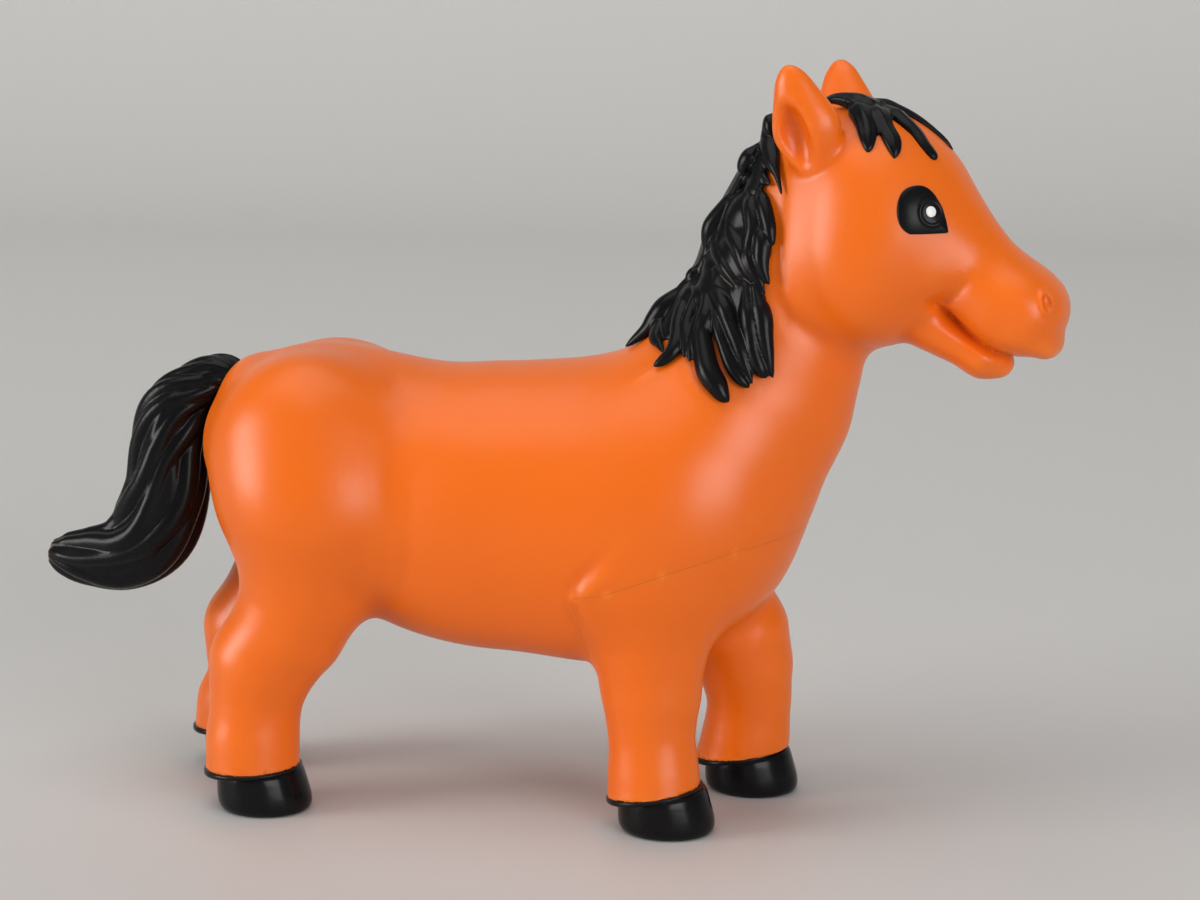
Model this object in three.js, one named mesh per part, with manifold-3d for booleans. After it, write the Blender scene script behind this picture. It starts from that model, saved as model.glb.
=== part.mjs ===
// Toy horse figure: a soft hollow casting with a plug-in forehand casting, a plug-in tail,
// and black mane, forelock, hooves and eyes. Millimetres, +X forward, +Y to the horse's left, +Z up.
import * as THREE from "three";
import { mergeVertices } from "three/addons/utils/BufferGeometryUtils.js";
import Module from "manifold-3d";

const wasm = await Module();
wasm.setup();

// Walls and fits
const WALL = 2.4;
const GAP = 0.35;
const RUN = 0.4;
const SKIN_STEP = 4;
const CORE_STEP = 6.4;
const SHORTEST_EDGE = 0.35;
const SLIVER = 1e-3;
const TURN_LIMIT = 0.98;

// Length of the back, from the shoulders to the hips behind them
const BACK_LENGTH = 56.5;
const SHOULDERS_X = 10.5;
const HIPS_X = SHOULDERS_X - BACK_LENGTH;

// Trunk: each mass has a middle and three half sizes, or a run of stations with radii
const BARREL_FORWARD = 8.25;
const BARREL_PAST = 12.25;
const BARREL = {
  at: [(SHOULDERS_X + HIPS_X) / 2 + BARREL_FORWARD, 0, 49],
  half: [BACK_LENGTH / 2 + BARREL_PAST, 21.5, 25.2],
};
const CROUP = { at: [HIPS_X, 0, 58.6], half: [20.2, 16.5, 17.2] };
const HAUNCH = { at: [HIPS_X, 9.5, 56], half: [17.2, 12, 18.5] };
const CHEST = { at: [8, 0, 47.5], half: [18.6, 20, 22.5] };
const SHOULDER = { at: [15, 9.5, 53], half: [13, 11.2, 17] };
const NECK = [
  { at: [12.6, 0, 51.5], r: 19.2 },
  { at: [27.2, 0, 76], r: 15.4 },
  { at: [36.5, 0, 102.5], r: 11.5 },
];
const NECK_FLAT = 0.86;
const TRUNK_BLEND = 10;
const THIGH_BLEND = 3.5;
const NECK_BLEND = 9;

// Head, drawn straight ahead and then turned a little towards the horse's right
const HEAD_TURN = 10;
const HEAD_PIVOT_X = 34;
const SKULL = { at: [43, 0, 99.6], half: [13.4, 13.6, 15.4] };
const CHEEK = { at: [43.5, 0, 90], half: [13.4, 14.6, 12.6] };
const FACE = [
  { at: [48.2, 0, 97.6], r: 10.9 },
  { at: [66, 0, 83.6], r: 6.6 },
];
const FACE_FLAT = 0.94;
const MUZZLE = { at: [66.6, 0, 83.6], half: [7.2, 8.8, 6.6] };
const JAW = [
  { at: [51, 0, 82.5], r: 5.5 },
  { at: [63.4, 0, 77], r: 3.7 },
];
const JAW_FLAT = 1.45;
const HEAD_BLEND = 6;
const LIP_BLEND = 2.4;
const NAPE_BLEND = 4;

// Legs: stations from the trunk down, x and z of the middle, radius, and the share of the stagger
const LEG_FLAT = 0.9;
const LEG_TOP_Y = 10;
const LEG_FOOT_Y = 12;
const LEG_BLEND = 3.6;
const FORE = [
  { x: SHOULDERS_X, z: 41, r: 12, lead: 0.2 },
  { x: 9.7, z: 29.5, r: 9, lead: 1.05 },
  { x: 10, z: 20, r: 7.6, lead: 1.18 },
  { x: 10.2, z: 14, r: 7.1, lead: 1.2 },
  { x: 11, z: 4, r: 7.6, lead: 1 },
];
const HIND = [
  { x: HIPS_X + 1, z: 51, r: 15, lead: 0 },
  { x: HIPS_X - 0.4, z: 35, r: 11.8, lead: 0.1 },
  { x: HIPS_X - 7.3, z: 22, r: 9.3, lead: 0.72 },
  { x: HIPS_X - 9.8, z: 13.5, r: 7.7, lead: 1.05 },
  { x: HIPS_X - 9.8, z: 4, r: 8.1, lead: 1 },
];
const FORE_STAGGER = 10.4;
const HIND_STAGGER = -10;
const ELBOW = { at: [0.2, 17, 36.8], half: [4.4, 4.4, 4.4] };
const ELBOW_BLEND = 3;

// Ears: leaf-shaped, hollowed on their outer side
const EAR_BASE = [37.6, 10, 106.5];
const EAR_TIP = [33.4, 12.8, 121.4];
const EAR_STATIONS = [
  { t: 0, wide: 4.2, thick: 3 },
  { t: 0.25, wide: 5.3, thick: 2.9 },
  { t: 0.5, wide: 5, thick: 2.6 },
  { t: 0.75, wide: 3.7, thick: 2.1 },
  { t: 0.92, wide: 2, thick: 1.3 },
  { t: 1, wide: 0.7, thick: 0.5 },
];
const EAR_BOWL = { t: 0.47, out: 3, half: [3, 2.6, 6.4] };

// Hooves: the leg stops at a sloping coronet and the hoof stands under it
const CORONET_Z = 5.5;
const CORONET_SLOPE = 0.165;
const HOOF_LEAD = 1.9;
const HOOF_HALF_LENGTH = 7.7;
const HOOF_HALF_WIDTH = 7.3;
const HOOF_RINGS = [
  { up: 0, size: 0.86 },
  { up: 0.16, size: 0.97 },
  { up: 0.5, size: 1 },
  { up: 0.84, size: 0.97 },
  { up: 1, size: 0.9 },
];
const HOOF_SIDES = 24;
const LEG_FLOOR_Z = 9.6;

// Seam of the forehand casting: from the elbow up to the breast, with a collar inside the body
const SEAM_BACK = [-3, 37.8];
const SEAM_SLOPE = 0.24;
const SEAM_FOOT = [1.2, 23];
const COLLAR_UP = 4;
const COLLAR_WALL = 1.6;
const COLLAR_GAP = 0.7;

// Tail: stations along its middle line, behind a round plug
const TAIL_AIM = [HIPS_X - 8, 0, 65];
const TAIL_AXIS = [-0.86, 0, 0.51];
const TAIL_STEM_R = 2.6;
const TAIL_FLANGE_R = 4;
const TAIL_FLANGE = 1.6;
const PLUG_PLAY = 0.8;
const TAIL_STATIONS = [
  { at: [HIPS_X - 20, 0, 69], r: 4.1 },
  { at: [HIPS_X - 24.6, 0, 64.4], r: 5.6 },
  { at: [HIPS_X - 26.8, 0, 58], r: 6.3 },
  { at: [HIPS_X - 27.8, 0, 50], r: 7 },
  { at: [HIPS_X - 30.2, 0, 43], r: 7.5 },
  { at: [HIPS_X - 35, 0, 38.6], r: 6.2 },
  { at: [HIPS_X - 41, 0, 37.6], r: 4.7 },
  { at: [HIPS_X - 45.6, 0, 37.9], r: 3.3 },
  { at: [HIPS_X - 48.6, 0, 38.6], r: 1.5 },
];
const TAIL_FLAT = 0.86;
const TAIL_SIDES = 24;
const TAIL_RINGS = 26;
const TAIL_STRANDS = 7;
const TAIL_GROOVE = 0.05;
const TAIL_TWIST = 1.7;
const TAIL_DOCK = 2;
const TAIL_DOCK_SWELL = 0.4;

// Hair: routes in the side view, laid on the skin of the named side
const LOCK_RINGS = 11;
const LOCK_SIDES = 8;
const LOCK_HALF_WIDTH = 2.4;
const LOCK_HALF_THICK = 1.7;
const LOCK_SEAT = 0.2;
const LOCK_ROOT_SHARE = 0.62;
const LOCK_TIP_SHARE = 0.25;
const CREST = [[29.5, 113.5], [25.5, 107.5], [23, 101.5], [19.5, 95], [17, 89], [12.5, 83.5], [7, 78.5]];
const CREST_HALF_WIDTH = 5.4;
const CREST_HALF_THICK = 2.2;
const CREST_TIP_SHARE = 0.4;
const MANE_RIGHT = [
  [[28, 113.5], [27, 110.5], [27.5, 107], [29, 104], [29.5, 101]],
  [[27.5, 113], [24.5, 108], [23.5, 105.5], [24.5, 102.5], [26.5, 99.5], [28, 96]],
  [[26, 109], [23.5, 104], [22.5, 100.5], [24, 97], [25.5, 93.5], [27, 89]],
  [[20.5, 100.5], [19, 97], [19.5, 92], [22, 88.5], [25, 86.5]],
  [[18.5, 97.5], [17.5, 94], [18.5, 90.5], [20.5, 87]],
  [[24.5, 104.5], [26.5, 101], [27, 97], [27, 92], [28, 87]],
  [[22.5, 101], [22, 97], [23.5, 92.5], [26, 88]],
  [[17.5, 88], [13.5, 84.5], [9.5, 80], [5.5, 77.5]],
  [[18.5, 88.5], [15, 83.5], [14, 78.5], [10.5, 75]],
  [[18.5, 88], [17, 83.5], [16, 80], [13, 77]],
  [[19, 88], [19, 83], [18.5, 77.5], [19.5, 72.5], [23, 70]],
  [[20, 89], [21.5, 84], [21.5, 78.5], [24, 74.5], [26, 72]],
  [[22, 88], [25, 85.5], [25.5, 80.5], [27, 76.5], [29.5, 74]],
  [[24, 87], [27, 85.5], [28.5, 81], [28.5, 77], [29, 74.5]],
];
const MANE_LEFT = [
  [[27.5, 112], [27, 108], [28.5, 104]],
  [[24.5, 106], [24.5, 101], [26.5, 97]],
  [[22, 100], [21.5, 95], [23, 90.5]],
  [[18.5, 94], [19.5, 89], [21.5, 85]],
  [[15.5, 88], [16.5, 83], [18, 79]],
  [[12, 83.5], [12.5, 79.5], [11, 76]],
];
const FORELOCK_RIGHT = [
  [[36, 115.5], [37.5, 114.5], [39.5, 112.5], [40.5, 110]],
  [[36.5, 114.5], [39.5, 115], [41.5, 113], [42.5, 110.5], [42.5, 108]],
  [[40.5, 115.5], [43, 114.5], [45, 111.5], [47, 109.5], [46.5, 107]],
  [[41.5, 115.5], [45.5, 114], [49, 111.5], [51.5, 109], [53, 106.5]],
];
const FORELOCK_LEFT = [
  [[37, 114.5], [42, 115], [47, 114], [51.5, 111], [55, 108]],
  [[39, 115], [43, 113.5], [46, 110.5], [47.5, 107.5]],
];

// Eyes: a rounded teardrop with a level lower lid, and a small glint
const EYE_AT = [53.6, 100.1];
const EYE_BACK = 3.7;
const EYE_FRONT = 3.7;
const EYE_UP = 3.8;
const EYE_DOWN = 3.6;
const EYE_PROUD = 1.1;
const EYE_REACH = 3;
const GLINT_AT = [1.3, -0.3];
const GLINT_R = 0.85;
const GLINT_PROUD = 1.3;

// Finish
const ORANGE = { color: 0xf07022, roughness: 0.42, metalness: 0 };
const BLACK = { color: 0x0e0e10, roughness: 0.3, metalness: 0 };
const WHITE = { color: 0xf4f4f0, roughness: 0.35, metalness: 0 };

const RIGHT = -1;
const LEFT = 1;

// Distance to an ellipsoid, near enough close to its surface
function ball(x, y, z, { at, half }, side = 1) {
  const a = (x - at[0]) / half[0];
  const b = (y - side * at[1]) / half[1];
  const c = (z - at[2]) / half[2];
  const k = Math.hypot(a, b, c);
  return (k * (k - 1)) / Math.max(Math.hypot(a / half[0], b / half[1], c / half[2]), 1e-6);
}

// Distance to a round bar between two balls of different radius
function bar(p, a, ra, b, rb) {
  const ba = [b[0] - a[0], b[1] - a[1], b[2] - a[2]];
  const pa = [p[0] - a[0], p[1] - a[1], p[2] - a[2]];
  const l2 = ba[0] ** 2 + ba[1] ** 2 + ba[2] ** 2;
  const rr = ra - rb;
  const a2 = l2 - rr * rr;
  const y = pa[0] * ba[0] + pa[1] * ba[1] + pa[2] * ba[2];
  const z = y - l2;
  const x2 = (pa[0] * l2 - ba[0] * y) ** 2 + (pa[1] * l2 - ba[1] * y) ** 2 + (pa[2] * l2 - ba[2] * y) ** 2;
  const y2 = y * y * l2;
  const z2 = z * z * l2;
  const k = Math.sign(rr) * rr * rr * x2;
  if (Math.sign(z) * a2 * z2 > k) return Math.sqrt(x2 + z2) / l2 - rb;
  if (Math.sign(y) * a2 * y2 < k) return Math.sqrt(x2 + y2) / l2 - ra;
  return (Math.sqrt((x2 * a2) / l2) + y * rr) / l2 - ra;
}

function blend(a, b, k) {
  const h = Math.max(k - Math.abs(a - b), 0) / k;
  return Math.min(a, b) - h * h * k * 0.25;
}

// A run of bars through stations, flattened sideways about the line they follow
function run(x, y, z, stations, flat) {
  let d = Infinity;
  for (let i = 0; i + 1 < stations.length; i++) {
    const a = stations[i];
    const b = stations[i + 1];
    const mid = (a.at[1] + b.at[1]) / 2;
    const p = [x, mid + (y - mid) / flat, z];
    d = blend(d, bar(p, a.at, a.r, b.at, b.r), 2);
  }
  return d;
}

function legStations(shape, side, stagger) {
  return shape.map((s, i) => {
    const share = i / (shape.length - 1);
    const y = side * (LEG_TOP_Y + (LEG_FOOT_Y - LEG_TOP_Y) * share);
    const x = s.x + (side === LEFT ? s.lead * stagger : 0);
    return { at: [x, y, s.z], r: s.r };
  });
}

const LEGS = {
  foreleg_right: legStations(FORE, RIGHT, FORE_STAGGER),
  foreleg_left: legStations(FORE, LEFT, FORE_STAGGER),
  hindleg_right: legStations(HIND, RIGHT, HIND_STAGGER),
  hindleg_left: legStations(HIND, LEFT, HIND_STAGGER),
};

const turn = THREE.MathUtils.degToRad(HEAD_TURN);
const toHead = (x, y) => [
  HEAD_PIVOT_X + (x - HEAD_PIVOT_X) * Math.cos(turn) - y * Math.sin(turn),
  (x - HEAD_PIVOT_X) * Math.sin(turn) + y * Math.cos(turn),
];
const fromHead = (x, y) => [
  HEAD_PIVOT_X + (x - HEAD_PIVOT_X) * Math.cos(turn) + y * Math.sin(turn),
  -(x - HEAD_PIVOT_X) * Math.sin(turn) + y * Math.cos(turn),
];

// Distance to the skin of the whole figure without ears and hooves
function skin(x, y, z) {
  let d = ball(x, y, z, BARREL);
  d = blend(d, ball(x, y, z, CROUP), TRUNK_BLEND);
  d = blend(d, ball(x, y, z, HAUNCH, Math.sign(y) || 1), THIGH_BLEND);
  d = blend(d, ball(x, y, z, CHEST), TRUNK_BLEND);
  d = blend(d, ball(x, y, z, SHOULDER, Math.sign(y) || 1), TRUNK_BLEND);
  d = blend(d, run(x, y, z, NECK, NECK_FLAT), NECK_BLEND);
  const [hx, hy] = toHead(x, y);
  let head = ball(hx, hy, z, SKULL);
  head = blend(head, ball(hx, hy, z, CHEEK), HEAD_BLEND);
  head = blend(head, run(hx, hy, z, FACE, FACE_FLAT), HEAD_BLEND);
  head = blend(head, ball(hx, hy, z, MUZZLE), HEAD_BLEND);
  head = blend(head, run(hx, hy, z, JAW, JAW_FLAT), LIP_BLEND);
  d = blend(d, head, NAPE_BLEND);
  for (const leg of Object.values(LEGS)) d = blend(d, run(x, y, z, leg, LEG_FLAT), LEG_BLEND);
  d = blend(d, ball(x, y, z, ELBOW, RIGHT), ELBOW_BLEND);
  const stepped = FORE[1].lead * FORE_STAGGER;
  return blend(d, ball(x - stepped, y, z, ELBOW, LEFT), ELBOW_BLEND);
}

function slope(x, y, z) {
  const e = 0.05;
  return new THREE.Vector3(
    skin(x + e, y, z) - skin(x - e, y, z),
    skin(x, y + e, z) - skin(x, y - e, z),
    skin(x, y, z + e) - skin(x, y, z - e),
  ).divideScalar(2 * e);
}

// Moves a point along the slope of the distance until it lies at the wanted level
function settle(p, level, most = 8) {
  const moved = p.clone();
  for (let i = 0; i < 4; i++) {
    const g = slope(moved.x, moved.y, moved.z);
    const step = (level - skin(moved.x, moved.y, moved.z)) / Math.max(g.lengthSq(), 0.2);
    moved.addScaledVector(g, step);
  }
  const way = moved.clone().sub(p);
  return way.length() > most ? p.clone().addScaledVector(way.normalize(), most) : moved;
}

// Room that holds every mass, with a margin
const ROOM_MARGIN = 8;
function roomOf() {
  const all = new THREE.Box3();
  const grow = (at, half) => {
    all.expandByPoint(new THREE.Vector3(at[0] - half[0], -Math.abs(at[1]) - half[1], at[2] - half[2]));
    all.expandByPoint(new THREE.Vector3(at[0] + half[0], Math.abs(at[1]) + half[1], at[2] + half[2]));
  };
  const masses = [BARREL, CROUP, HAUNCH, CHEST, SHOULDER, SKULL, CHEEK, MUZZLE];
  for (const { at, half } of masses) grow(at, half);
  for (const line of [NECK, FACE, JAW, ...Object.values(LEGS)])
    for (const { at, r } of line) grow(at, [r, 1.5 * r, r]);
  all.expandByScalar(ROOM_MARGIN);
  return { min: all.min.toArray(), max: all.max.toArray() };
}
const ROOM = roomOf();

function sampleGrid(step) {
  const n = ROOM.min.map((low, i) => Math.ceil((ROOM.max[i] - low) / step) + 1);
  const values = new Float32Array(n[0] * n[1] * n[2]);
  let at = 0;
  for (let k = 0; k < n[2]; k++)
    for (let j = 0; j < n[1]; j++)
      for (let i = 0; i < n[0]; i++)
        values[at++] = skin(ROOM.min[0] + i * step, ROOM.min[1] + j * step, ROOM.min[2] + k * step);
  return { step, n, values };
}

function surfaceOf(points, faces) {
  const geometry = new THREE.BufferGeometry();
  const flat = points.flatMap((p) => p.toArray());
  geometry.setAttribute("position", new THREE.Float32BufferAttribute(flat, 3));
  geometry.setIndex(faces);
  return geometry;
}

// Closed surface where the distance has the wanted level: one vertex in each crossed cell
function levelSurface({ step, n, values }, level) {
  const index = (i, j, k) => i + n[0] * (j + n[1] * k);
  const corner = [0, 1, 2, 3, 4, 5, 6, 7].map((c) => [c & 1, (c >> 1) & 1, (c >> 2) & 1]);
  const edges = [];
  for (let a = 0; a < 8; a++) for (const bit of [1, 2, 4]) if (!(a & bit)) edges.push([a, a | bit]);
  const cell = new Map();
  const points = [];
  for (let k = 0; k + 1 < n[2]; k++)
    for (let j = 0; j + 1 < n[1]; j++)
      for (let i = 0; i + 1 < n[0]; i++) {
        const v = corner.map((c) => values[index(i + c[0], j + c[1], k + c[2])] - level);
        const crossed = edges.filter(([a, b]) => v[a] < 0 !== v[b] < 0);
        if (!crossed.length) continue;
        const p = new THREE.Vector3();
        for (const [a, b] of crossed) {
          const t = v[a] / (v[a] - v[b]);
          p.x += corner[a][0] + t * (corner[b][0] - corner[a][0]);
          p.y += corner[a][1] + t * (corner[b][1] - corner[a][1]);
          p.z += corner[a][2] + t * (corner[b][2] - corner[a][2]);
        }
        p.divideScalar(crossed.length).add(new THREE.Vector3(i, j, k)).multiplyScalar(step);
        p.add(new THREE.Vector3(...ROOM.min));
        cell.set(index(i, j, k), points.length);
        points.push(settle(p, level, step * 0.45));
      }
  const faces = [];
  const quad = (a, b, c, d, flip) => {
    const short = points[a].distanceTo(points[c]) < points[b].distanceTo(points[d]);
    const tris = short ? [a, b, c, a, c, d] : [a, b, d, b, c, d];
    for (let t = 0; t < 6; t += 3) {
      if (flip) faces.push(tris[t], tris[t + 2], tris[t + 1]);
      else faces.push(tris[t], tris[t + 1], tris[t + 2]);
    }
  };
  const axes = [[1, 0, 0], [0, 1, 0], [0, 0, 1]];
  for (let k = 1; k + 1 < n[2]; k++)
    for (let j = 1; j + 1 < n[1]; j++)
      for (let i = 1; i + 1 < n[0]; i++)
        axes.forEach((axis, m) => {
          const here = values[index(i, j, k)] < level;
          if (here === values[index(i + axis[0], j + axis[1], k + axis[2])] < level) return;
          const u = axes[(m + 1) % 3];
          const w = axes[(m + 2) % 3];
          const at = (du, dw) => {
            const back = axes.map((_, c) => du * u[c] + dw * w[c]);
            return cell.get(index(i - back[0], j - back[1], k - back[2]));
          };
          quad(at(1, 1), at(0, 1), at(0, 0), at(1, 0), !here);
        });
  return surfaceOf(points, faces);
}

// Closed solid through rings of equal count, capped at both ends
function loft(rings) {
  const count = rings[0].length;
  const points = rings.flat();
  const faces = [];
  for (let r = 0; r + 1 < rings.length; r++)
    for (let s = 0; s < count; s++) {
      const a = r * count + s;
      const b = r * count + ((s + 1) % count);
      faces.push(a, b, b + count, a, b + count, a + count);
    }
  const middle = (ring) => ring.reduce((m, p) => m.add(p), new THREE.Vector3()).divideScalar(count);
  const first = points.push(middle(rings[0])) - 1;
  const last = points.push(middle(rings.at(-1))) - 1;
  const top = (rings.length - 1) * count;
  for (let s = 0; s < count; s++) {
    faces.push(first, (s + 1) % count, s);
    faces.push(last, top + s, top + ((s + 1) % count));
  }
  return surfaceOf(points, faces);
}

function ringOf(middle, across, along, wide, thick, sides, swell = () => 1) {
  return Array.from({ length: sides }, (_, s) => {
    const angle = (2 * Math.PI * s) / sides;
    const size = swell(angle);
    return middle
      .clone()
      .addScaledVector(across, wide * size * Math.cos(angle))
      .addScaledVector(along, thick * size * Math.sin(angle));
  });
}

function solid(geometry) {
  const bare = new THREE.BufferGeometry();
  bare.setAttribute("position", geometry.getAttribute("position").clone());
  if (geometry.index) bare.setIndex(geometry.index.clone());
  const merged = mergeVertices(bare, 1e-4);
  const made = new wasm.Manifold(
    new wasm.Mesh({
      numProp: 3,
      vertProperties: new Float32Array(merged.getAttribute("position").array),
      triVerts: new Uint32Array(merged.index.array),
    }),
  );
  return made;
}

function facing(geometry) {
  const made = solid(geometry);
  if (made.volume() > 0) return made;
  const turned = geometry.clone();
  const index = turned.index.array;
  for (let i = 0; i < index.length; i += 3) [index[i + 1], index[i + 2]] = [index[i + 2], index[i + 1]];
  return solid(turned);
}

// Draws in edges too short to matter, where the surface stays closed and keeps its directions
function tidy(made, shortest) {
  const mesh = made.getMesh();
  const spotAt = (i) => new THREE.Vector3().fromArray(mesh.vertProperties, 3 * i);
  const spots = Array.from({ length: mesh.numVert }, (_, i) => spotAt(i));
  const tris = Array.from({ length: mesh.numTri }, (_, t) => [...mesh.triVerts.slice(3 * t, 3 * t + 3)]);
  const around = spots.map(() => new Set());
  tris.forEach((tri, t) => tri.forEach((v) => around[v].add(t)));
  const near = (v) => new Set([...around[v]].flatMap((t) => tris[t]).filter((w) => w !== v));
  const areaOf = (a, b, c) => new THREE.Vector3().crossVectors(b.clone().sub(a), c.clone().sub(a));
  const keeps = (v, gone, to) =>
    [...around[v]].every((t) => {
      if (tris[t].includes(gone)) return true;
      const old = areaOf(...tris[t].map((w) => spots[w]));
      const made = areaOf(...tris[t].map((w) => (w === v ? to : spots[w])));
      const sizes = old.length() * made.length();
      if (made.length() < SLIVER) return false;
      return old.length() < SLIVER || old.dot(made) > TURN_LIMIT * sizes;
    });
  const draw = (keep, gone, to) => {
    const shared = [...near(keep)].filter((v) => near(gone).has(v));
    if (shared.length !== 2 || !keeps(keep, gone, to) || !keeps(gone, keep, to)) return false;
    for (const t of [...around[gone]]) {
      const tri = tris[t];
      if (tri.includes(keep)) {
        tri.forEach((v) => around[v].delete(t));
        tris[t] = null;
      } else {
        tri[tri.indexOf(gone)] = keep;
        around[keep].add(t);
      }
    }
    around[gone].clear();
    spots[keep].copy(to);
    return true;
  };
  for (let again = true, round = 0; again && round < 12; round++) {
    again = false;
    for (let t = 0; t < tris.length; t++)
      for (let s = 0; tris[t] && s < 3; s++) {
        const [a, b] = [tris[t][s], tris[t][(s + 1) % 3]];
        if (spots[a].distanceTo(spots[b]) > shortest) continue;
        const ends = [spots[a], spots[b], spots[a].clone().lerp(spots[b], 0.5)];
        if (ends.some((to) => draw(a, b, to.clone()))) {
          again = true;
          break;
        }
      }
  }
  return solid(surfaceOf(spots, tris.filter(Boolean).flat()));
}

const biggest = (made) => made.decompose().sort((a, b) => b.volume() - a.volume())[0];

function block(min, max) {
  const size = min.map((low, i) => max[i] - low);
  const box = new THREE.BoxGeometry(...size);
  return solid(box.translate(...min.map((low, i) => low + size[i] / 2)));
}

// Skin solids at several levels
const skinGrid = sampleGrid(SKIN_STEP);
const coreGrid = sampleGrid(CORE_STEP);
const outer = biggest(facing(levelSurface(skinGrid, 0)));
const clear = biggest(facing(levelSurface(skinGrid, GAP)));
const eyeSkin = biggest(facing(levelSurface(skinGrid, EYE_PROUD)));
const glintSkin = biggest(facing(levelSurface(skinGrid, GLINT_PROUD)));
const aboveFloor = block([ROOM.min[0], ROOM.min[1], LEG_FLOOR_Z], ROOM.max);
const coreAt = (level) => facing(levelSurface(coreGrid, -level)).intersect(aboveFloor);

// Ears in the head's own frame, then turned with the head
function ear(side, grow) {
  const base = new THREE.Vector3(EAR_BASE[0], side * EAR_BASE[1], EAR_BASE[2]);
  const tip = new THREE.Vector3(EAR_TIP[0], side * EAR_TIP[1], EAR_TIP[2]);
  const up = tip.clone().sub(base).normalize();
  const out = new THREE.Vector3(0, side, 0).addScaledVector(up, -side * up.y).normalize();
  const across = new THREE.Vector3().crossVectors(up, out);
  const rings = EAR_STATIONS.map(({ t, wide, thick }) =>
    ringOf(base.clone().lerp(tip, t), across, out, wide + grow, thick + grow, 18),
  );
  let leaf = facing(loft(rings));
  if (!grow) {
    const bowl = new THREE.SphereGeometry(1, 20, 12).scale(...EAR_BOWL.half);
    bowl.applyMatrix4(new THREE.Matrix4().makeBasis(across, out, up));
    const at = base.clone().lerp(tip, EAR_BOWL.t).addScaledVector(out, EAR_BOWL.out);
    leaf = leaf.subtract(facing(bowl.translate(at.x, at.y, at.z)));
  }
  const mesh = leaf.getMesh();
  const geometry = new THREE.BufferGeometry();
  const place = Float32Array.from(mesh.vertProperties);
  for (let i = 0; i < place.length; i += 3) [place[i], place[i + 1]] = fromHead(place[i], place[i + 1]);
  geometry.setAttribute("position", new THREE.BufferAttribute(place, 3));
  geometry.setIndex(new THREE.BufferAttribute(mesh.triVerts, 1));
  return facing(geometry);
}

const ears = [ear(RIGHT, 0), ear(LEFT, 0)];
const earClear = [ear(RIGHT, GAP), ear(LEFT, GAP)];

// Space under a leg's coronet, where its hoof stands
const coronetTilt = Math.atan(CORONET_SLOPE);
function footOf(stations) {
  const [x, y] = stations.at(-1).at;
  return new THREE.Vector3(x, y, CORONET_Z);
}
function underCoronet(foot) {
  const depth = 4 * CORONET_Z;
  const drum = new THREE.CylinderGeometry(2 * HOOF_HALF_LENGTH, 2 * HOOF_HALF_LENGTH, depth, 24);
  drum.rotateX(Math.PI / 2).translate(0, 0, -depth / 2).rotateY(-coronetTilt);
  return solid(drum.translate(foot.x, foot.y, foot.z));
}

function hoof(foot) {
  const heart = foot.x + HOOF_LEAD;
  const rings = HOOF_RINGS.map(({ up, size }) =>
    Array.from({ length: HOOF_SIDES }, (_, s) => {
      const angle = (2 * Math.PI * s) / HOOF_SIDES;
      const x = heart + HOOF_HALF_LENGTH * size * Math.cos(angle);
      const y = foot.y + HOOF_HALF_WIDTH * size * Math.sin(angle);
      const top = CORONET_Z + CORONET_SLOPE * (x - foot.x) - GAP;
      return new THREE.Vector3(x, y, up * top);
    }),
  );
  return facing(loft(rings));
}

const feet = Object.fromEntries(Object.entries(LEGS).map(([name, stations]) => [name, footOf(stations)]));
let figure = outer.add(ears[0]).add(ears[1]);
for (const foot of Object.values(feet)) figure = figure.subtract(underCoronet(foot));
figure = biggest(figure);

// Forehand: everything under the seam ahead of the elbow, with its collar up inside the body
function underSeam(rise) {
  const far = ROOM.max[0] - ROOM.min[0];
  const back = rise < 0 ? -rise : 0;
  const edge = new THREE.Shape();
  edge.moveTo(SEAM_BACK[0] + back, SEAM_BACK[1] + rise);
  edge.lineTo(SEAM_BACK[0] + far, SEAM_BACK[1] + rise + far * SEAM_SLOPE);
  edge.lineTo(SEAM_BACK[0] + far, -far);
  edge.lineTo(SEAM_FOOT[0] + back, -far);
  edge.lineTo(SEAM_FOOT[0] + back, SEAM_FOOT[1]);
  edge.closePath();
  const prism = new THREE.ExtrudeGeometry(edge, { depth: far, bevelEnabled: false });
  return facing(prism.translate(0, 0, -far / 2).rotateX(Math.PI / 2));
}

const core = coreAt(WALL);
const collarOut = coreAt(WALL + COLLAR_GAP);
const collarIn = coreAt(WALL + COLLAR_GAP + COLLAR_WALL);
const belowSeam = underSeam(-GAP / 2);
const seamCut = underSeam(GAP / 2);
const lower = figure.intersect(belowSeam);
const rim = lower.subtract(underSeam(-COLLAR_UP)).subtract(collarIn);
const collarBand = underSeam(COLLAR_UP).subtract(underSeam(-COLLAR_UP / 2));
const collar = collarOut.subtract(collarIn).intersect(collarBand);
const forehand = biggest(biggest(lower.subtract(core)).add(rim).add(collar));

let bodyShell = figure.subtract(seamCut).subtract(core);

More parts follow.
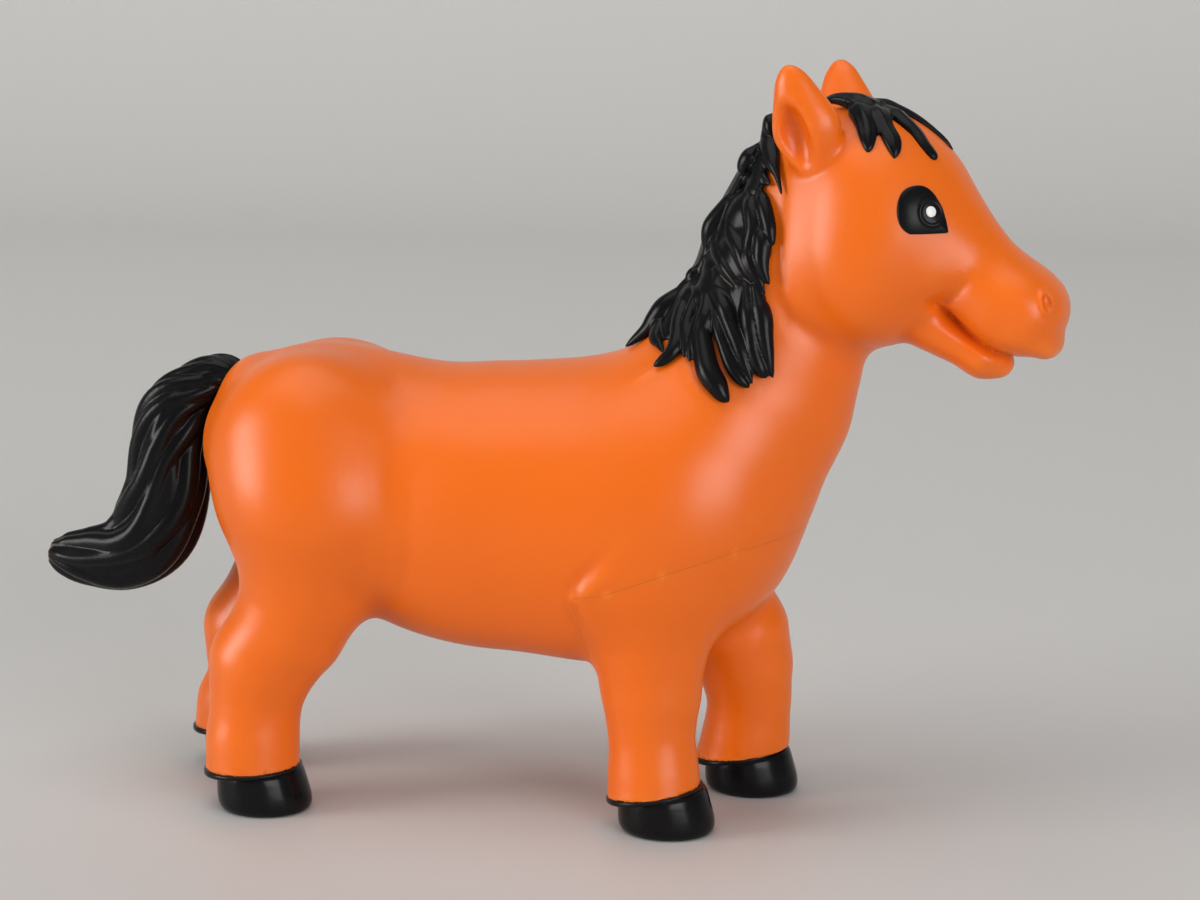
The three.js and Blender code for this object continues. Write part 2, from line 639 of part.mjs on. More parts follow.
// Tail plug through a round hole in the rump
const tailAxis = new THREE.Vector3(...TAIL_AXIS).normalize();
function rumpPoint(level) {
  let low = 0;
  let high = 40;
  for (let i = 0; i < 40; i++) {
    const mid = (low + high) / 2;
    const p = new THREE.Vector3(...TAIL_AIM).addScaledVector(tailAxis, mid);
    if (skin(p.x, p.y, p.z) < level) low = mid;
    else high = mid;
  }
  return new THREE.Vector3(...TAIL_AIM).addScaledVector(tailAxis, low);
}
const tailRoot = rumpPoint(0);
const wallAtTail = tailRoot.distanceTo(rumpPoint(-WALL));
function peg(radius, from, to) {
  const rod = new THREE.CylinderGeometry(radius, radius, to - from, 28);
  rod.translate(0, (from + to) / 2, 0);
  rod.applyQuaternion(new THREE.Quaternion().setFromUnitVectors(new THREE.Vector3(0, 1, 0), tailAxis));
  return solid(rod.translate(tailRoot.x, tailRoot.y, tailRoot.z));
}
const plugDepth = wallAtTail + PLUG_PLAY;
const plugHole = peg(TAIL_STEM_R + RUN, -2 * plugDepth, 4 * RUN);
const plugSeat = peg(TAIL_FLANGE_R + RUN, -2 * plugDepth, RUN - plugDepth);
bodyShell = biggest(bodyShell.subtract(plugHole).subtract(plugSeat));

function tail() {
  const start = tailRoot.clone().addScaledVector(tailAxis, 2 * RUN);
  const line = [start, start.clone().addScaledVector(tailAxis, TAIL_DOCK)];
  const radii = [TAIL_STEM_R + TAIL_DOCK_SWELL, TAIL_STEM_R + 2 * TAIL_DOCK_SWELL];
  for (const { at, r } of TAIL_STATIONS) {
    line.push(new THREE.Vector3(...at));
    radii.push(r);
  }
  const path = new THREE.CatmullRomCurve3(line, false, "centripetal");
  const sideways = new THREE.Vector3(0, 1, 0);
  const rings = Array.from({ length: TAIL_RINGS + 1 }, (_, i) => {
    const t = i / TAIL_RINGS;
    const place = t * (line.length - 1);
    const k = Math.min(Math.floor(place), line.length - 2);
    const r = THREE.MathUtils.lerp(radii[k], radii[k + 1], place - k);
    const across = new THREE.Vector3().crossVectors(path.getTangent(t), sideways).normalize();
    const grooved = TAIL_GROOVE * Math.min(1, 4 * t);
    const swell = (angle) => 1 + grooved * Math.cos(TAIL_STRANDS * angle + TAIL_TWIST * 2 * Math.PI * t);
    const flat = THREE.MathUtils.lerp(1, TAIL_FLAT, Math.min(1, 3 * t));
    return ringOf(path.getPoint(t), across, sideways, r, r * flat, TAIL_SIDES, swell);
  });
  const brush = facing(loft(rings)).subtract(clear);
  const stem = peg(TAIL_STEM_R, -plugDepth - TAIL_FLANGE / 2, 4 * RUN);
  const flange = peg(TAIL_FLANGE_R, -plugDepth - TAIL_FLANGE, -plugDepth);
  return biggest(biggest(brush).add(stem).add(flange));
}

// A lock of hair laid on the skin along a side-view route
function onSkin(x, z, side, lift) {
  let y = 0;
  for (let far = 30; far > 0.5; far -= 0.5) {
    if (skin(x, side * far, z) < 0) {
      y = far;
      break;
    }
  }
  return settle(new THREE.Vector3(x, side * Math.max(y, 0.6), z), lift);
}

function lock(route, side, halfWidth, halfThick, tipShare) {
  const line = route.map(([x, z]) => onSkin(x, z, side, LOCK_SEAT));
  const path = new THREE.CatmullRomCurve3(line, false, "centripetal");
  const rings = Array.from({ length: LOCK_RINGS + 1 }, (_, i) => {
    const t = i / LOCK_RINGS;
    const p = settle(path.getPoint(t), LOCK_SEAT);
    const out = slope(p.x, p.y, p.z).normalize();
    const across = new THREE.Vector3().crossVectors(path.getTangent(t), out).normalize();
    const taper = Math.sqrt(1 - t ** 3 * (1 - tipShare ** 2));
    const swell = Math.min(1, LOCK_ROOT_SHARE + 1.2 * t) * taper;
    return ringOf(p, across, out, halfWidth * swell, halfThick * (0.35 + 0.65 * swell), LOCK_SIDES);
  });
  return facing(loft(rings));
}

function hair(locks) {
  let made = locks.reduce((all, one) => all.add(one));
  made = made.subtract(clear);
  for (const one of earClear) made = made.subtract(one);
  return biggest(made);
}

const strands = (routes, side) =>
  routes.map((route) => lock(route, side, LOCK_HALF_WIDTH, LOCK_HALF_THICK, LOCK_TIP_SHARE));
const mane = hair([
  lock(CREST, RIGHT, CREST_HALF_WIDTH, CREST_HALF_THICK, CREST_TIP_SHARE),
  ...strands(MANE_RIGHT, RIGHT),
  ...strands(MANE_LEFT, LEFT),
]);
const forelock = hair([...strands(FORELOCK_RIGHT, RIGHT), ...strands(FORELOCK_LEFT, LEFT)]);

// Eyes on the head's own frame
function eyeFrame(side) {
  let far = 30;
  const at = (y) => fromHead(EYE_AT[0], side * y);
  while (far > 0 && skin(...at(far), EYE_AT[1]) > 0) far -= 0.05;
  const p = new THREE.Vector3(...at(far), EYE_AT[1]);
  const out = slope(p.x, p.y, p.z).normalize();
  const up = new THREE.Vector3(0, 0, 1).addScaledVector(out, -out.z).normalize();
  const ahead = new THREE.Vector3().crossVectors(up, out).multiplyScalar(-side);
  return { p, out, up, ahead };
}

function eyeOutline() {
  const edge = new THREE.Shape();
  edge.moveTo(-0.55 * EYE_BACK, -EYE_DOWN);
  edge.lineTo(0.9 * EYE_FRONT, -EYE_DOWN);
  edge.quadraticCurveTo(1.1 * EYE_FRONT, 0.25 * EYE_UP, 0.45 * EYE_FRONT, 0.85 * EYE_UP);
  edge.quadraticCurveTo(-0.1 * EYE_FRONT, 1.1 * EYE_UP, -0.7 * EYE_BACK, 0.75 * EYE_UP);
  edge.quadraticCurveTo(-1.25 * EYE_BACK, -0.1 * EYE_DOWN, -0.55 * EYE_BACK, -EYE_DOWN);
  return edge;
}

function raised(shape, frame, from, to) {
  const plate = new THREE.ExtrudeGeometry(shape, {
    depth: to - from,
    bevelEnabled: false,
    curveSegments: 8,
  });
  plate.translate(0, 0, from);
  const { p, out, up, ahead } = frame;
  plate.applyMatrix4(new THREE.Matrix4().makeBasis(ahead, up, out).setPosition(p));
  return facing(plate.index ? plate : mergeVertices(plate, 1e-5));
}

function eyePair(side) {
  const frame = eyeFrame(side);
  const dot = new THREE.Shape().absarc(GLINT_AT[0], GLINT_AT[1], GLINT_R, 0, 2 * Math.PI);
  const seat = new THREE.Shape().absarc(GLINT_AT[0], GLINT_AT[1], GLINT_R + GAP, 0, 2 * Math.PI);
  const bead = raised(eyeOutline(), frame, -EYE_REACH, EYE_REACH).intersect(eyeSkin).subtract(clear);
  const eye = bead.subtract(raised(seat, frame, -EYE_REACH, EYE_REACH));
  const glint = raised(dot, frame, -EYE_REACH, EYE_REACH).intersect(glintSkin).subtract(clear);
  return { eye: biggest(eye), glint: biggest(glint) };
}

const eyes = { right: eyePair(RIGHT), left: eyePair(LEFT) };

const horse = new THREE.Group();
horse.name = "toy_horse";
function piece(name, made, finish) {
  const mesh = tidy(made, SHORTEST_EDGE).getMesh();
  const geometry = new THREE.BufferGeometry();
  geometry.setAttribute("position", new THREE.BufferAttribute(Float32Array.from(mesh.vertProperties), 3));
  geometry.setIndex(new THREE.BufferAttribute(Uint32Array.from(mesh.triVerts), 1));
  geometry.computeVertexNormals();
  const placed = new THREE.Mesh(geometry, new THREE.MeshStandardMaterial(finish));
  placed.name = name;
  horse.add(placed);
}

piece("body_shell", bodyShell, ORANGE);
piece("forehand_shell", forehand, ORANGE);
piece("tail", tail(), BLACK);
piece("mane", mane, BLACK);
piece("forelock", forelock, BLACK);
for (const [name, foot] of Object.entries(feet)) piece(name.replace("leg", "hoof"), hoof(foot), BLACK);
for (const [side, { eye, glint }] of Object.entries(eyes)) {
  piece(`eye_${side}`, eye, BLACK);
  piece(`eye_glint_${side}`, glint, WHITE);
}

// The origin is the middle of the standing figure's box, on the ground
const box = new THREE.Box3().setFromObject(horse);
const middle = box.getCenter(new THREE.Vector3());
horse.position.set(-middle.x, -middle.y, -box.min.z);
horse.updateMatrixWorld(true);

export default horse;
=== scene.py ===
from itertools import product
from math import atan2, cos, hypot, pi, radians, sin

import bmesh
import bpy
import numpy as np
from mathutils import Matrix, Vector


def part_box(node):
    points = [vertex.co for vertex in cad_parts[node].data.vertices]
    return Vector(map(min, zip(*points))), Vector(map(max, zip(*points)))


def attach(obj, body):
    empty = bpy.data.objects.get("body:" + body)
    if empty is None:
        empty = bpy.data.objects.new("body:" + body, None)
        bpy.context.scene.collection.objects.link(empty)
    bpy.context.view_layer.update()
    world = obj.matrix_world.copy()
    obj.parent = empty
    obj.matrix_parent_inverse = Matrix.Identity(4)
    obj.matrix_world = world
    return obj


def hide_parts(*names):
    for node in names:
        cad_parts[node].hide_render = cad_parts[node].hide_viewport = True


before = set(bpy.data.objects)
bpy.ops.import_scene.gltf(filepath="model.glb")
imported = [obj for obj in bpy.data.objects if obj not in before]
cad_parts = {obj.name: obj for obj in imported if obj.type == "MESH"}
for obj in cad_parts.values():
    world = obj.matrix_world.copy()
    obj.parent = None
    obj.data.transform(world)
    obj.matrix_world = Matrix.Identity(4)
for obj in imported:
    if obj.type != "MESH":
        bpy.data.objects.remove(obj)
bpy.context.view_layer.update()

# Body casting: head, ears, neck, barrel and hind legs, spun in one piece of soft orange vinyl.
# It is hollow, with a satin skin that shows faint clouds, painted shade in its folds and a painted
# highlight on its high spots.
# All sizes are millimetres from a point on the ground; the near front hoof says where that is.
MM = 0.001
NEAR_FORE_FOOT = np.array([12.9, -12.0, 0.0])
foot_low, foot_high = (np.array(c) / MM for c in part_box("forehoof_right"))
GROUND_POINT = (foot_low + foot_high) / 2 - NEAR_FORE_FOOT
GROUND_POINT[2] = foot_low[2]

HIPS_X = -46.0
BARREL = ((-14, 0, 49.6), (38, 21.5, 23.7))
CROUP = ((HIPS_X + 0.4, 0, 58.7), (20.6, 16.5, 16.9))
HAUNCH = ((HIPS_X + 0.2, 9.5, 57), (16.4, 12, 18))
DOCK = ((-57.6, 0, 68.6), (3.6, 7, 3.8))
DOCK_BLEND = 4
CHEST = ((4, 0, 49.2), (18.6, 20, 23))
BREAST_DENT = ((33, 43), 6.5, 0.3)
SHOULDER = ((15, 9.5, 53), (13, 11.2, 17))
NECK = [(13.6, 0, 51.5, 19.8), (23.5, 0, 69, 16.9), (27, 0, 76.5, 14.9), (36.2, 0, 102.5, 10.8)]
NECK_FLAT = 0.86
TRUNK_BLEND = 10
THIGH_BLEND = 3.5
NECK_BLEND = 9
HEAD_TURN = radians(10)
HEAD_PIVOT_X = 34
SKULL = ((43, 0, 99.6), (13.4, 13.6, 15.4))
CHEEK = ((43.5, 0, 90), (13.4, 14.6, 12.6))
FACE = [(48.8, 0, 97.9, 10.7), (66, 0, 84.7, 5.5)]
FACE_FLAT = 1.06
MUZZLE = ((66.6, 0, 84.2), (7.2, 8.2, 6.0))
MUZZLE_SQUARE = 2.8
UPPER_LIP = [(67.0, 0, 81, 2.4), (71.2, 0, 79.3, 2.4)]
UPPER_LIP_FLAT = 2.5
UPPER_LIP_BLEND = 1.6
JAW = [(51, 0, 83.5, 5.2), (61.6, 0, 77.2, 3.4), (64.0, 0, 75.8, 2.1)]
JAW_FLAT = 1.45
HEAD_BLEND = 6
LIP_BLEND = 1.0
NAPE_BLEND = 4
EAR_BASE = np.array([37.2, 10, 106.5])
EAR_TIP = np.array([32.8, 12.8, 121.7])
FAR_EAR_LEAN = 1.3
EAR_WIDTHS = [(0.18, 4.2), (0.34, 4.8), (0.52, 3.7), (0.68, 2.7), (0.8, 1.9), (0.89, 1.2)]
EAR_FLAT = 0.6
EAR_BOWL = ((1.7, 3.0, 5.0), (2.6, 3.3, 5.6))
EAR_RIM = 1.5
EAR_BLEND = 1.6
MOUTH = [
    (60.4, 90.4, 0.1, 1.0), (59.6, 88.9, 0.4, 1.2), (58.2, 87.4, 0.6, 1.3), (56.5, 86.1, 0.85, 1.2),
    (55.3, 85.4, 0.95, 1.1), (56.6, 84.0, 0.95, 1.05), (58.0, 82.5, 0.85, 1.0), (59.6, 81.2, 0.75, 0.95),
    (61.8, 79.6, 0.65, 0.9), (63.8, 78.3, 0.55, 0.85), (66.0, 77.6, 0.3, 0.7),
]
SMILE = ((56.0, 89.6), 3.0, 0.4)
JAW_GROOVE = [
    (31.1, 106.0, 0.15, 1.3), (31.3, 99.9, 0.35, 1.3), (31.7, 93.2, 0.4, 1.3), (32.1, 86.5, 0.4, 1.3),
    (33.6, 83.0, 0.35, 1.5), (38.0, 80.0, 0.15, 1.7),
]
THIGH_FRONT = [
    (30, -38.0), (36, -33.8), (41, -31.0), (46, -29.6), (52, -29.6), (58, -29.9), (64, -30.5), (72, -31.5),
]
THIGH_LOW_Z = 28
THIGH_HIGH_Z = 74
THIGH_RISE = 1.4
THIGH_MIDDLE_Z = 45.0
THIGH_TALL = 13.0
THIGH_SOFT = 3.4
THIGH_REACH = 11.0
NOSTRIL = (71.3, 5.8, 86.3)
NOSTRIL_FACES = (0.7, 0.714)
NOSTRIL_HALF = (1.05, 1.55)
NOSTRIL_RIM = 0.42
NOSTRIL_THIN = 0.3
NOSTRIL_DIP = 0.35
NOSTRIL_DIP_SHARE = 0.6
FORE = [
    (10.5, 41, 12, 0.0), (9.9, 27.6, 8.3, 1.0), (10.2, 22, 7.5, 1.11), (10.3, 16, 6.5, 1.17),
    (10.7, 10, 6.75, 1.09), (11, 4, 7.8, 0.97),
]
HIND = [
    (HIPS_X + 1, 51, 15, 0.2), (HIPS_X - 0.4, 38, 10.2, 0.68), (HIPS_X - 3.6, 30.5, 8.9, 0.78),
    (HIPS_X - 7.9, 24.5, 8.4, 0.82), (HIPS_X - 9.2, 19.2, 7.2, 0.78), (HIPS_X - 9.6, 14.2, 6.9, 0.68),
    (HIPS_X - 9.9, 10.8, 7.1, 0.94), (HIPS_X - 9.8, 4, 8.1, 1.0),
]
FORE_STAGGER = 11.2
HIND_STAGGER = -10
LEG_TOP_Y = 10
LEG_FOOT_Y = 12
LEG_FLAT = 0.9
LEG_BLEND = 3.6
ELBOW_POINT = (-0.8, 39.8)
ELBOW_RISE = 1.5
ELBOW_REACH = 10.0
ELBOW_REACH_UP = 8.0
ELBOW_REACH_DOWN = 10.0
ELBOW_EDGES = [(0.756, -0.654), (0.970, 0.245)]
ELBOW_SOFT = 1.6
FORE_CORONET = (6.5, 0.15)
HIND_CORONET = (7.0, 0.05)
CORONET_ROUND = 0.25
SEAM = [(1.2, 23), (-0.8, 39.6), (5, 40.8), (13.7, 44), (24.3, 47.4), (40, 49.6)]
SEAM_DEPTH = 0.035
SEAM_WIDTH = 0.4
SEAM_GAP = 0.02
SEAM_SIDE_LOW = -20
SEAM_SIDE_Y = 40
HAIR_MARKS = [
    [(6.5, 72.6, 0.1, 0.5), (8, 73, 0.3, 0.6), (10.3, 74.3, 0.3, 0.6)],
    [(15.7, 75.3, 0.3, 0.5), (17.3, 72.9, 0.3, 0.5), (18.5, 71, 0.1, 0.5)],
]
ROOM_LOW = np.array([-80.0, -30.0, -4.0])
ROOM_HIGH = np.array([82.0, 30.0, 128.0])
SKIN_STEP = 0.8
COARSE = 5
SKIN_SPOTS = 200000
MOUTH_FINE = 3.0
MOUTH_FINEST = 1.6
MOUTH_BACK_X = 52
NOSTRIL_FINE = 4.0
NOSTRIL_FINEST = 2.6
NOSTRIL_RIM_FINE = 2.4
SEAM_FINE = 1.3
SEAM_BEHIND = 3
CORONET_FINE = 1.2
EAR_FINE_LOW = 3
EAR_FINE_IN = 5
EAR_FINE_AHEAD = 46
SHARP_SEAM = 40
VINYL_RIDGES = (10, 0.5)
VINYL_ROUGH = (0.28, 0.40)
VINYL_SPECULAR = 0.38
VINYL_CLOUD = 0.88
VINYL_SEE_THROUGH = 0.15
VINYL_GLOW_REACH = 0.003
ORANGE = (0.850, 0.152, 0.005)
# The next two colours are painted shade for the creases and a painted highlight for the ridges.
ORANGE_PAINTED_SHADE = (0.600, 0.080, 0.002)
ORANGE_PAINTED_HIGHLIGHT = (0.910, 0.215, 0.024)


def ball(p, mass):
    """Distance to an ellipsoid, near enough close to its surface."""
    q = (p - np.array(mass[0], np.float32)) / np.array(mass[1], np.float32)
    k = np.linalg.norm(q, axis=-1)
    return k * (k - 1) / np.maximum(np.linalg.norm(q / np.array(mass[1], np.float32), axis=-1), 1e-6)


def pad(p, mass, square):
    """Distance to an ellipsoid whose left and right sides flatten as square grows past two."""
    q = (p - np.array(mass[0], np.float32)) / np.array(mass[1], np.float32)
    ring = np.maximum(np.hypot(q[..., 0], q[..., 2]), 1e-3)
    k = (ring**square + np.abs(q[..., 1]) ** square) ** (1 / square)
    across = np.abs(q[..., 1]) ** (square - 1)
    rise = np.stack([q[..., 0] * ring ** (square - 2), across, q[..., 2] * ring ** (square - 2)], -1)
    rise = rise / np.array(mass[1], np.float32) / (k ** (square - 1))[..., None]
    return (k - 1) / np.maximum(np.linalg.norm(rise, axis=-1), 1e-6)


def bar(p, start, end):
    """Distance to a round bar between two balls of different radius."""
    a, ra = np.array(start[:3], np.float32), start[3]
    b, rb = np.array(end[:3], np.float32), end[3]
    ba, pa = b - a, p - a
    l2 = float(ba @ ba)
    rr = ra - rb
    a2 = l2 - rr * rr
    y = pa @ ba
    z = y - l2
    x2 = ((pa * l2 - y[..., None] * ba) ** 2).sum(-1)
    y2 = y * y * l2
    z2 = z * z * l2
    k = np.sign(rr) * rr * rr * x2
    side = (np.sqrt(x2 * a2 / l2) + y * rr) / l2 - ra
    near_a = np.where(np.sign(y) * a2 * y2 < k, np.sqrt(x2 + y2) / l2 - ra, side)
    return np.where(np.sign(z) * a2 * z2 > k, np.sqrt(x2 + z2) / l2 - rb, near_a)


def blend(a, b, k):
    """The nearer of two distances, with a soft fillet of size k where they meet."""
    h = np.maximum(k - np.abs(a - b), 0) / k
    return np.minimum(a, b) - h * h * k * 0.25


def run(p, stations, flat):
    """Distance to bars through stations, flattened sideways about the line they follow."""
    d = None
    for a, b in zip(stations, stations[1:]):
        middle = (a[1] + b[1]) / 2
        q = p.copy()
        q[..., 1] = middle + (p[..., 1] - middle) / flat
        one = bar(q, a, b)
        d = one if d is None else blend(d, one, 2)
    return d


def leg_line(shape, side, stagger):
    """Stations of one leg: x, y, z and radius, with the left leg moved along the stride."""
    line = []
    for i, (x, z, r, lead) in enumerate(shape):
        y = LEG_TOP_Y + (LEG_FOOT_Y - LEG_TOP_Y) * i / (len(shape) - 1)
        line.append((x + (lead * stagger if side > 0 else 0), side * y, z, r))
    return line


LEGS = {
    "forehoof_right": leg_line(FORE, -1, FORE_STAGGER),
    "forehoof_left": leg_line(FORE, 1, FORE_STAGGER),
    "hindhoof_right": leg_line(HIND, -1, HIND_STAGGER),
    "hindhoof_left": leg_line(HIND, 1, HIND_STAGGER),
}
FEET = np.array([line[-1][:2] for line in LEGS.values()], np.float32)
CORONETS = np.array([FORE_CORONET if "fore" in name else HIND_CORONET for name in LEGS], np.float32)


def to_head(p):
    """The same points in the head's own frame, with the head looking straight ahead."""
    q = p.copy()
    x, y = p[..., 0] - HEAD_PIVOT_X, p[..., 1]
    q[..., 0] = HEAD_PIVOT_X + x * cos(HEAD_TURN) - y * sin(HEAD_TURN)
    q[..., 1] = x * sin(HEAD_TURN) + y * cos(HEAD_TURN)
    return q


def from_head(p):
    """Points of the head's own frame, put back on the turned head."""
    q = np.array(p, np.float32)
    x, y = q[..., 0] - HEAD_PIVOT_X, q[..., 1].copy()
    q[..., 1] = -x * sin(HEAD_TURN) + y * cos(HEAD_TURN)
    q[..., 0] = HEAD_PIVOT_X + x * cos(HEAD_TURN) + y * sin(HEAD_TURN)
    return q


def mirrored(p):
    """The same points, all brought to the left side."""
    m = p.copy()
    m[..., 1] = np.abs(p[..., 1])
    return m


def swelling(q, spot):
    """Height of a round swelling in the side view, given by its middle, radius and height."""
    (x, z), r, height = spot
    return height * np.exp(-((q[..., 0] - x) ** 2 + (q[..., 2] - z) ** 2) / r**2)


def crease(x, z, line):
    """Depth of a groove that follows a line in the side view: x, z, depth and width at each point."""
    depth = np.zeros_like(x)
    for (x0, z0, d0, w0), (x1, z1, d1, w1) in zip(line, line[1:]):
        dx, dz = x1 - x0, z1 - z0
        t = np.clip(((x - x0) * dx + (z - z0) * dz) / (dx * dx + dz * dz), 0, 1)
        away = np.hypot(x - x0 - t * dx, z - z0 - t * dz) / (w0 + (w1 - w0) * t)
        depth = np.maximum(depth, (d0 + (d1 - d0) * t) * np.exp(-away * away))
    return depth


SEAM_LINE = [(x, z, SEAM_DEPTH, SEAM_WIDTH) for x, z in SEAM]


def elbow_fold(p):
    """Height of the fold of skin that ends in a point behind each elbow."""
    x = np.where(p[..., 1] > 0, p[..., 0] - FORE[1][3] * FORE_STAGGER, p[..., 0]) - ELBOW_POINT[0]
    z = p[..., 2] - ELBOW_POINT[1]
    tall = np.where(z > 0, ELBOW_REACH_UP, ELBOW_REACH_DOWN)
    rise = ELBOW_RISE * np.exp(-((x / ELBOW_REACH) ** 2) - (z / tall) ** 2)
    for across_x, across_z in ELBOW_EDGES:
        t = np.clip((x * across_x + z * across_z) / ELBOW_SOFT * 0.5 + 0.5, 0, 1)
        rise = rise * t * t * (3 - 2 * t)
    return rise


THIGH_CURVE = np.polyfit(*np.array(THIGH_FRONT).T, 4)


def thigh_fold(p):
    """Height of the thigh over the flank, with a soft step along its front edge."""
    behind = np.polyval(THIGH_CURVE, np.clip(p[..., 2], THIGH_LOW_Z, THIGH_HIGH_Z)) - p[..., 0]
    t = np.clip(behind / THIGH_SOFT * 0.5 + 0.5, 0, 1)
    rise = THIGH_RISE * np.exp(-(((p[..., 2] - THIGH_MIDDLE_Z) / THIGH_TALL) ** 2)) * t * t * (3 - 2 * t)
    return (rise * np.exp(-((np.maximum(behind, 0) / THIGH_REACH) ** 2))).astype(np.float32)


def coronet(p):
    """Height of the nearest hoof's upper edge under or over each point."""
    nearest = np.argmin(np.linalg.norm(p[..., None, :2] - FEET, axis=-1), axis=-1)
    height, tilt = CORONETS[nearest].T
    return height.T + tilt.T * (p[..., 0] - FEET[nearest, 0])


def ear(q):
    """Distance to a leaf-shaped ear, hollowed on its outer side; q is mirrored to the left side."""
    up = EAR_TIP - EAR_BASE
    length = np.linalg.norm(up)
    up = up / length
    out = np.array([0, 1, 0]) - up * up[1]
    out /= np.linalg.norm(out)
    axes = np.stack([np.cross(up, out), out, up]).astype(np.float32)
    local = (q - EAR_BASE.astype(np.float32)) @ axes.T
    leaf = run(local, [(0, 0, t * length, wide) for t, wide in EAR_WIDTHS], EAR_FLAT)
    return -blend(-leaf, ball(local, EAR_BOWL), EAR_RIM)


def head(q):
    """Distance to the head in its own frame, with mouth, cheeks, nostrils and ears."""
    m = mirrored(q)
    d = blend(ball(q, SKULL), ball(q, CHEEK), HEAD_BLEND)
    d = blend(d, run(q, FACE, FACE_FLAT), HEAD_BLEND)
    d = blend(d, pad(q, MUZZLE, MUZZLE_SQUARE), HEAD_BLEND)
    d = blend(d, run(q, UPPER_LIP, UPPER_LIP_FLAT), UPPER_LIP_BLEND)
    d = blend(d, run(q, JAW, JAW_FLAT), LIP_BLEND)
    d = d - swelling(q, SMILE) + crease(q[..., 0], q[..., 2], MOUTH)
    spot = m - np.array(NOSTRIL, np.float32)
    over = spot[..., 0] * NOSTRIL_FACES[1] - spot[..., 1] * NOSTRIL_FACES[0]
    away = np.hypot(over / NOSTRIL_HALF[0], spot[..., 2] / NOSTRIL_HALF[1])
    d = d - NOSTRIL_RIM * np.exp(-(((away - 1) / NOSTRIL_THIN) ** 2))
    d = d + NOSTRIL_DIP * np.exp(-((away / NOSTRIL_DIP_SHARE) ** 2))
    rise = np.clip((q[..., 2] - EAR_BASE[2]) / (EAR_TIP[2] - EAR_BASE[2]), 0, 1)
    m[..., 0] -= np.where(q[..., 1] > 0, FAR_EAR_LEAN * rise, 0)
    return blend(d, ear(m), EAR_BLEND)


def skin(p):
    """Distance to the skin of the whole figure without its hooves, in millimetres."""
    p = np.asarray(p, np.float32)
    m = mirrored(p)
    d = blend(ball(p, BARREL), ball(p, CROUP), TRUNK_BLEND)
    d = blend(d, ball(p, DOCK), DOCK_BLEND)
    d = blend(d, ball(m, HAUNCH), THIGH_BLEND)
    d = blend(d, ball(p, CHEST), TRUNK_BLEND)
    d = blend(d, ball(m, SHOULDER), TRUNK_BLEND)
    d = blend(d, run(p, NECK, NECK_FLAT), NECK_BLEND)
    q = to_head(p)
    d = blend(d, head(q), NAPE_BLEND) + crease(q[..., 0], q[..., 2], JAW_GROOVE)
    for line in LEGS.values():
        d = blend(d, run(p, line, LEG_FLAT), LEG_BLEND)
    d = d + swelling(p, BREAST_DENT)
    d = d - elbow_fold(p) - thigh_fold(p) + crease(p[..., 0], p[..., 2], SEAM_LINE)
    for line in HAIR_MARKS:
        d = d - np.where(p[..., 1] < 0, crease(p[..., 0], p[..., 2], line), 0)
    return -blend(-d, p[..., 2] - coronet(p), CORONET_ROUND)


def slope(p, e=0.06):
    """Gradient of the skin's distance at each point."""
    g = np.empty_like(p)
    for axis in range(3):
        step = np.zeros(3, np.float32)
        step[axis] = e
        g[..., axis] = (skin(p + step) - skin(p - step)) / (2 * e)
    return g


def settle(p, level=0.0, rounds=3, most=2.0):
    """Moves points along the slope until they lie at the wanted distance from the skin."""
    p = np.array(p, np.float32)
    for _ in range(rounds):
        g = slope(p)
        way = g * ((level - skin(p)) / np.maximum((g * g).sum(-1), 0.25))[..., None]
        length = np.linalg.norm(way, axis=-1, keepdims=True)
        p = p + way * np.minimum(1, most / np.maximum(length, 1e-9))
    return p


def sample(low, high, step):
    """Skin distances on a grid: exact near the skin, coarse far from it."""
    wide = step * COARSE
    n = np.ceil((high - low) / wide).astype(int)
    rough_axes = [low[i] + wide * (np.arange(n[i]) + 0.5) for i in range(3)]
    rough = skin(np.stack(np.meshgrid(*rough_axes, indexing="ij"), -1).reshape(-1, 3)).reshape(n)
    values = rough.repeat(COARSE, 0).repeat(COARSE, 1).repeat(COARSE, 2)
    close = np.argwhere(np.abs(values) < 2.0 * wide)
    for part in np.array_split(close, max(1, len(close) // SKIN_SPOTS)):
        values[tuple(part.T)] = skin(low + step * part)
    return values


def nets(values, low, step):
    """Closed quads where the distance is zero: one vertex in each crossed cell."""
    cells = tuple(n - 1 for n in values.shape)
    corners = list(product((0, 1), repeat=3))
    at = [values[i:i + cells[0], j:j + cells[1], k:k + cells[2]] for i, j, k in corners]
    inside = sum((v < 0).astype(np.int8) for v in at)
    active = (inside > 0) & (inside < 8)
    ids = np.full(cells, -1)
    ids[active] = np.arange(active.sum())
    v = np.stack([a[active] for a in at])
    total = np.zeros((v.shape[1], 3))
    count = np.zeros(v.shape[1])
    for a, b in product(range(8), repeat=2):
        step_of = np.subtract(corners[b], corners[a])
        if step_of.sum() != 1 or np.abs(step_of).sum() != 1:
            continue
        cross = (v[a] < 0) != (v[b] < 0)
        t = v[a][cross] / (v[a][cross] - v[b][cross])
        total[cross] += np.array(corners[a]) + t[:, None] * step_of
        count[cross] += 1
    verts = low + step * (np.argwhere(active) + total / count[:, None])
    quads = []
    for axis in range(3):
        u, w = np.eye(3, dtype=int)[(axis + 1) % 3], np.eye(3, dtype=int)[(axis + 2) % 3]
        here = np.take(values, range(values.shape[axis] - 1), axis) < 0
        there = np.take(values, range(1, values.shape[axis]), axis) < 0
        spots = np.argwhere(here != there)
        spots = spots[(spots @ u > 0) & (spots @ w > 0)]
        round_edge = ((1, 1), (0, 1), (0, 0), (1, 0))
        ring = np.stack([ids[tuple((spots - du * u - dw * w).T)] for du, dw in round_edge], 1)
        flip = ~here[tuple(spots.T)]
        ring[flip] = ring[flip][:, ::-1]
        quads.append(ring)
    return verts, np.concatenate(quads)


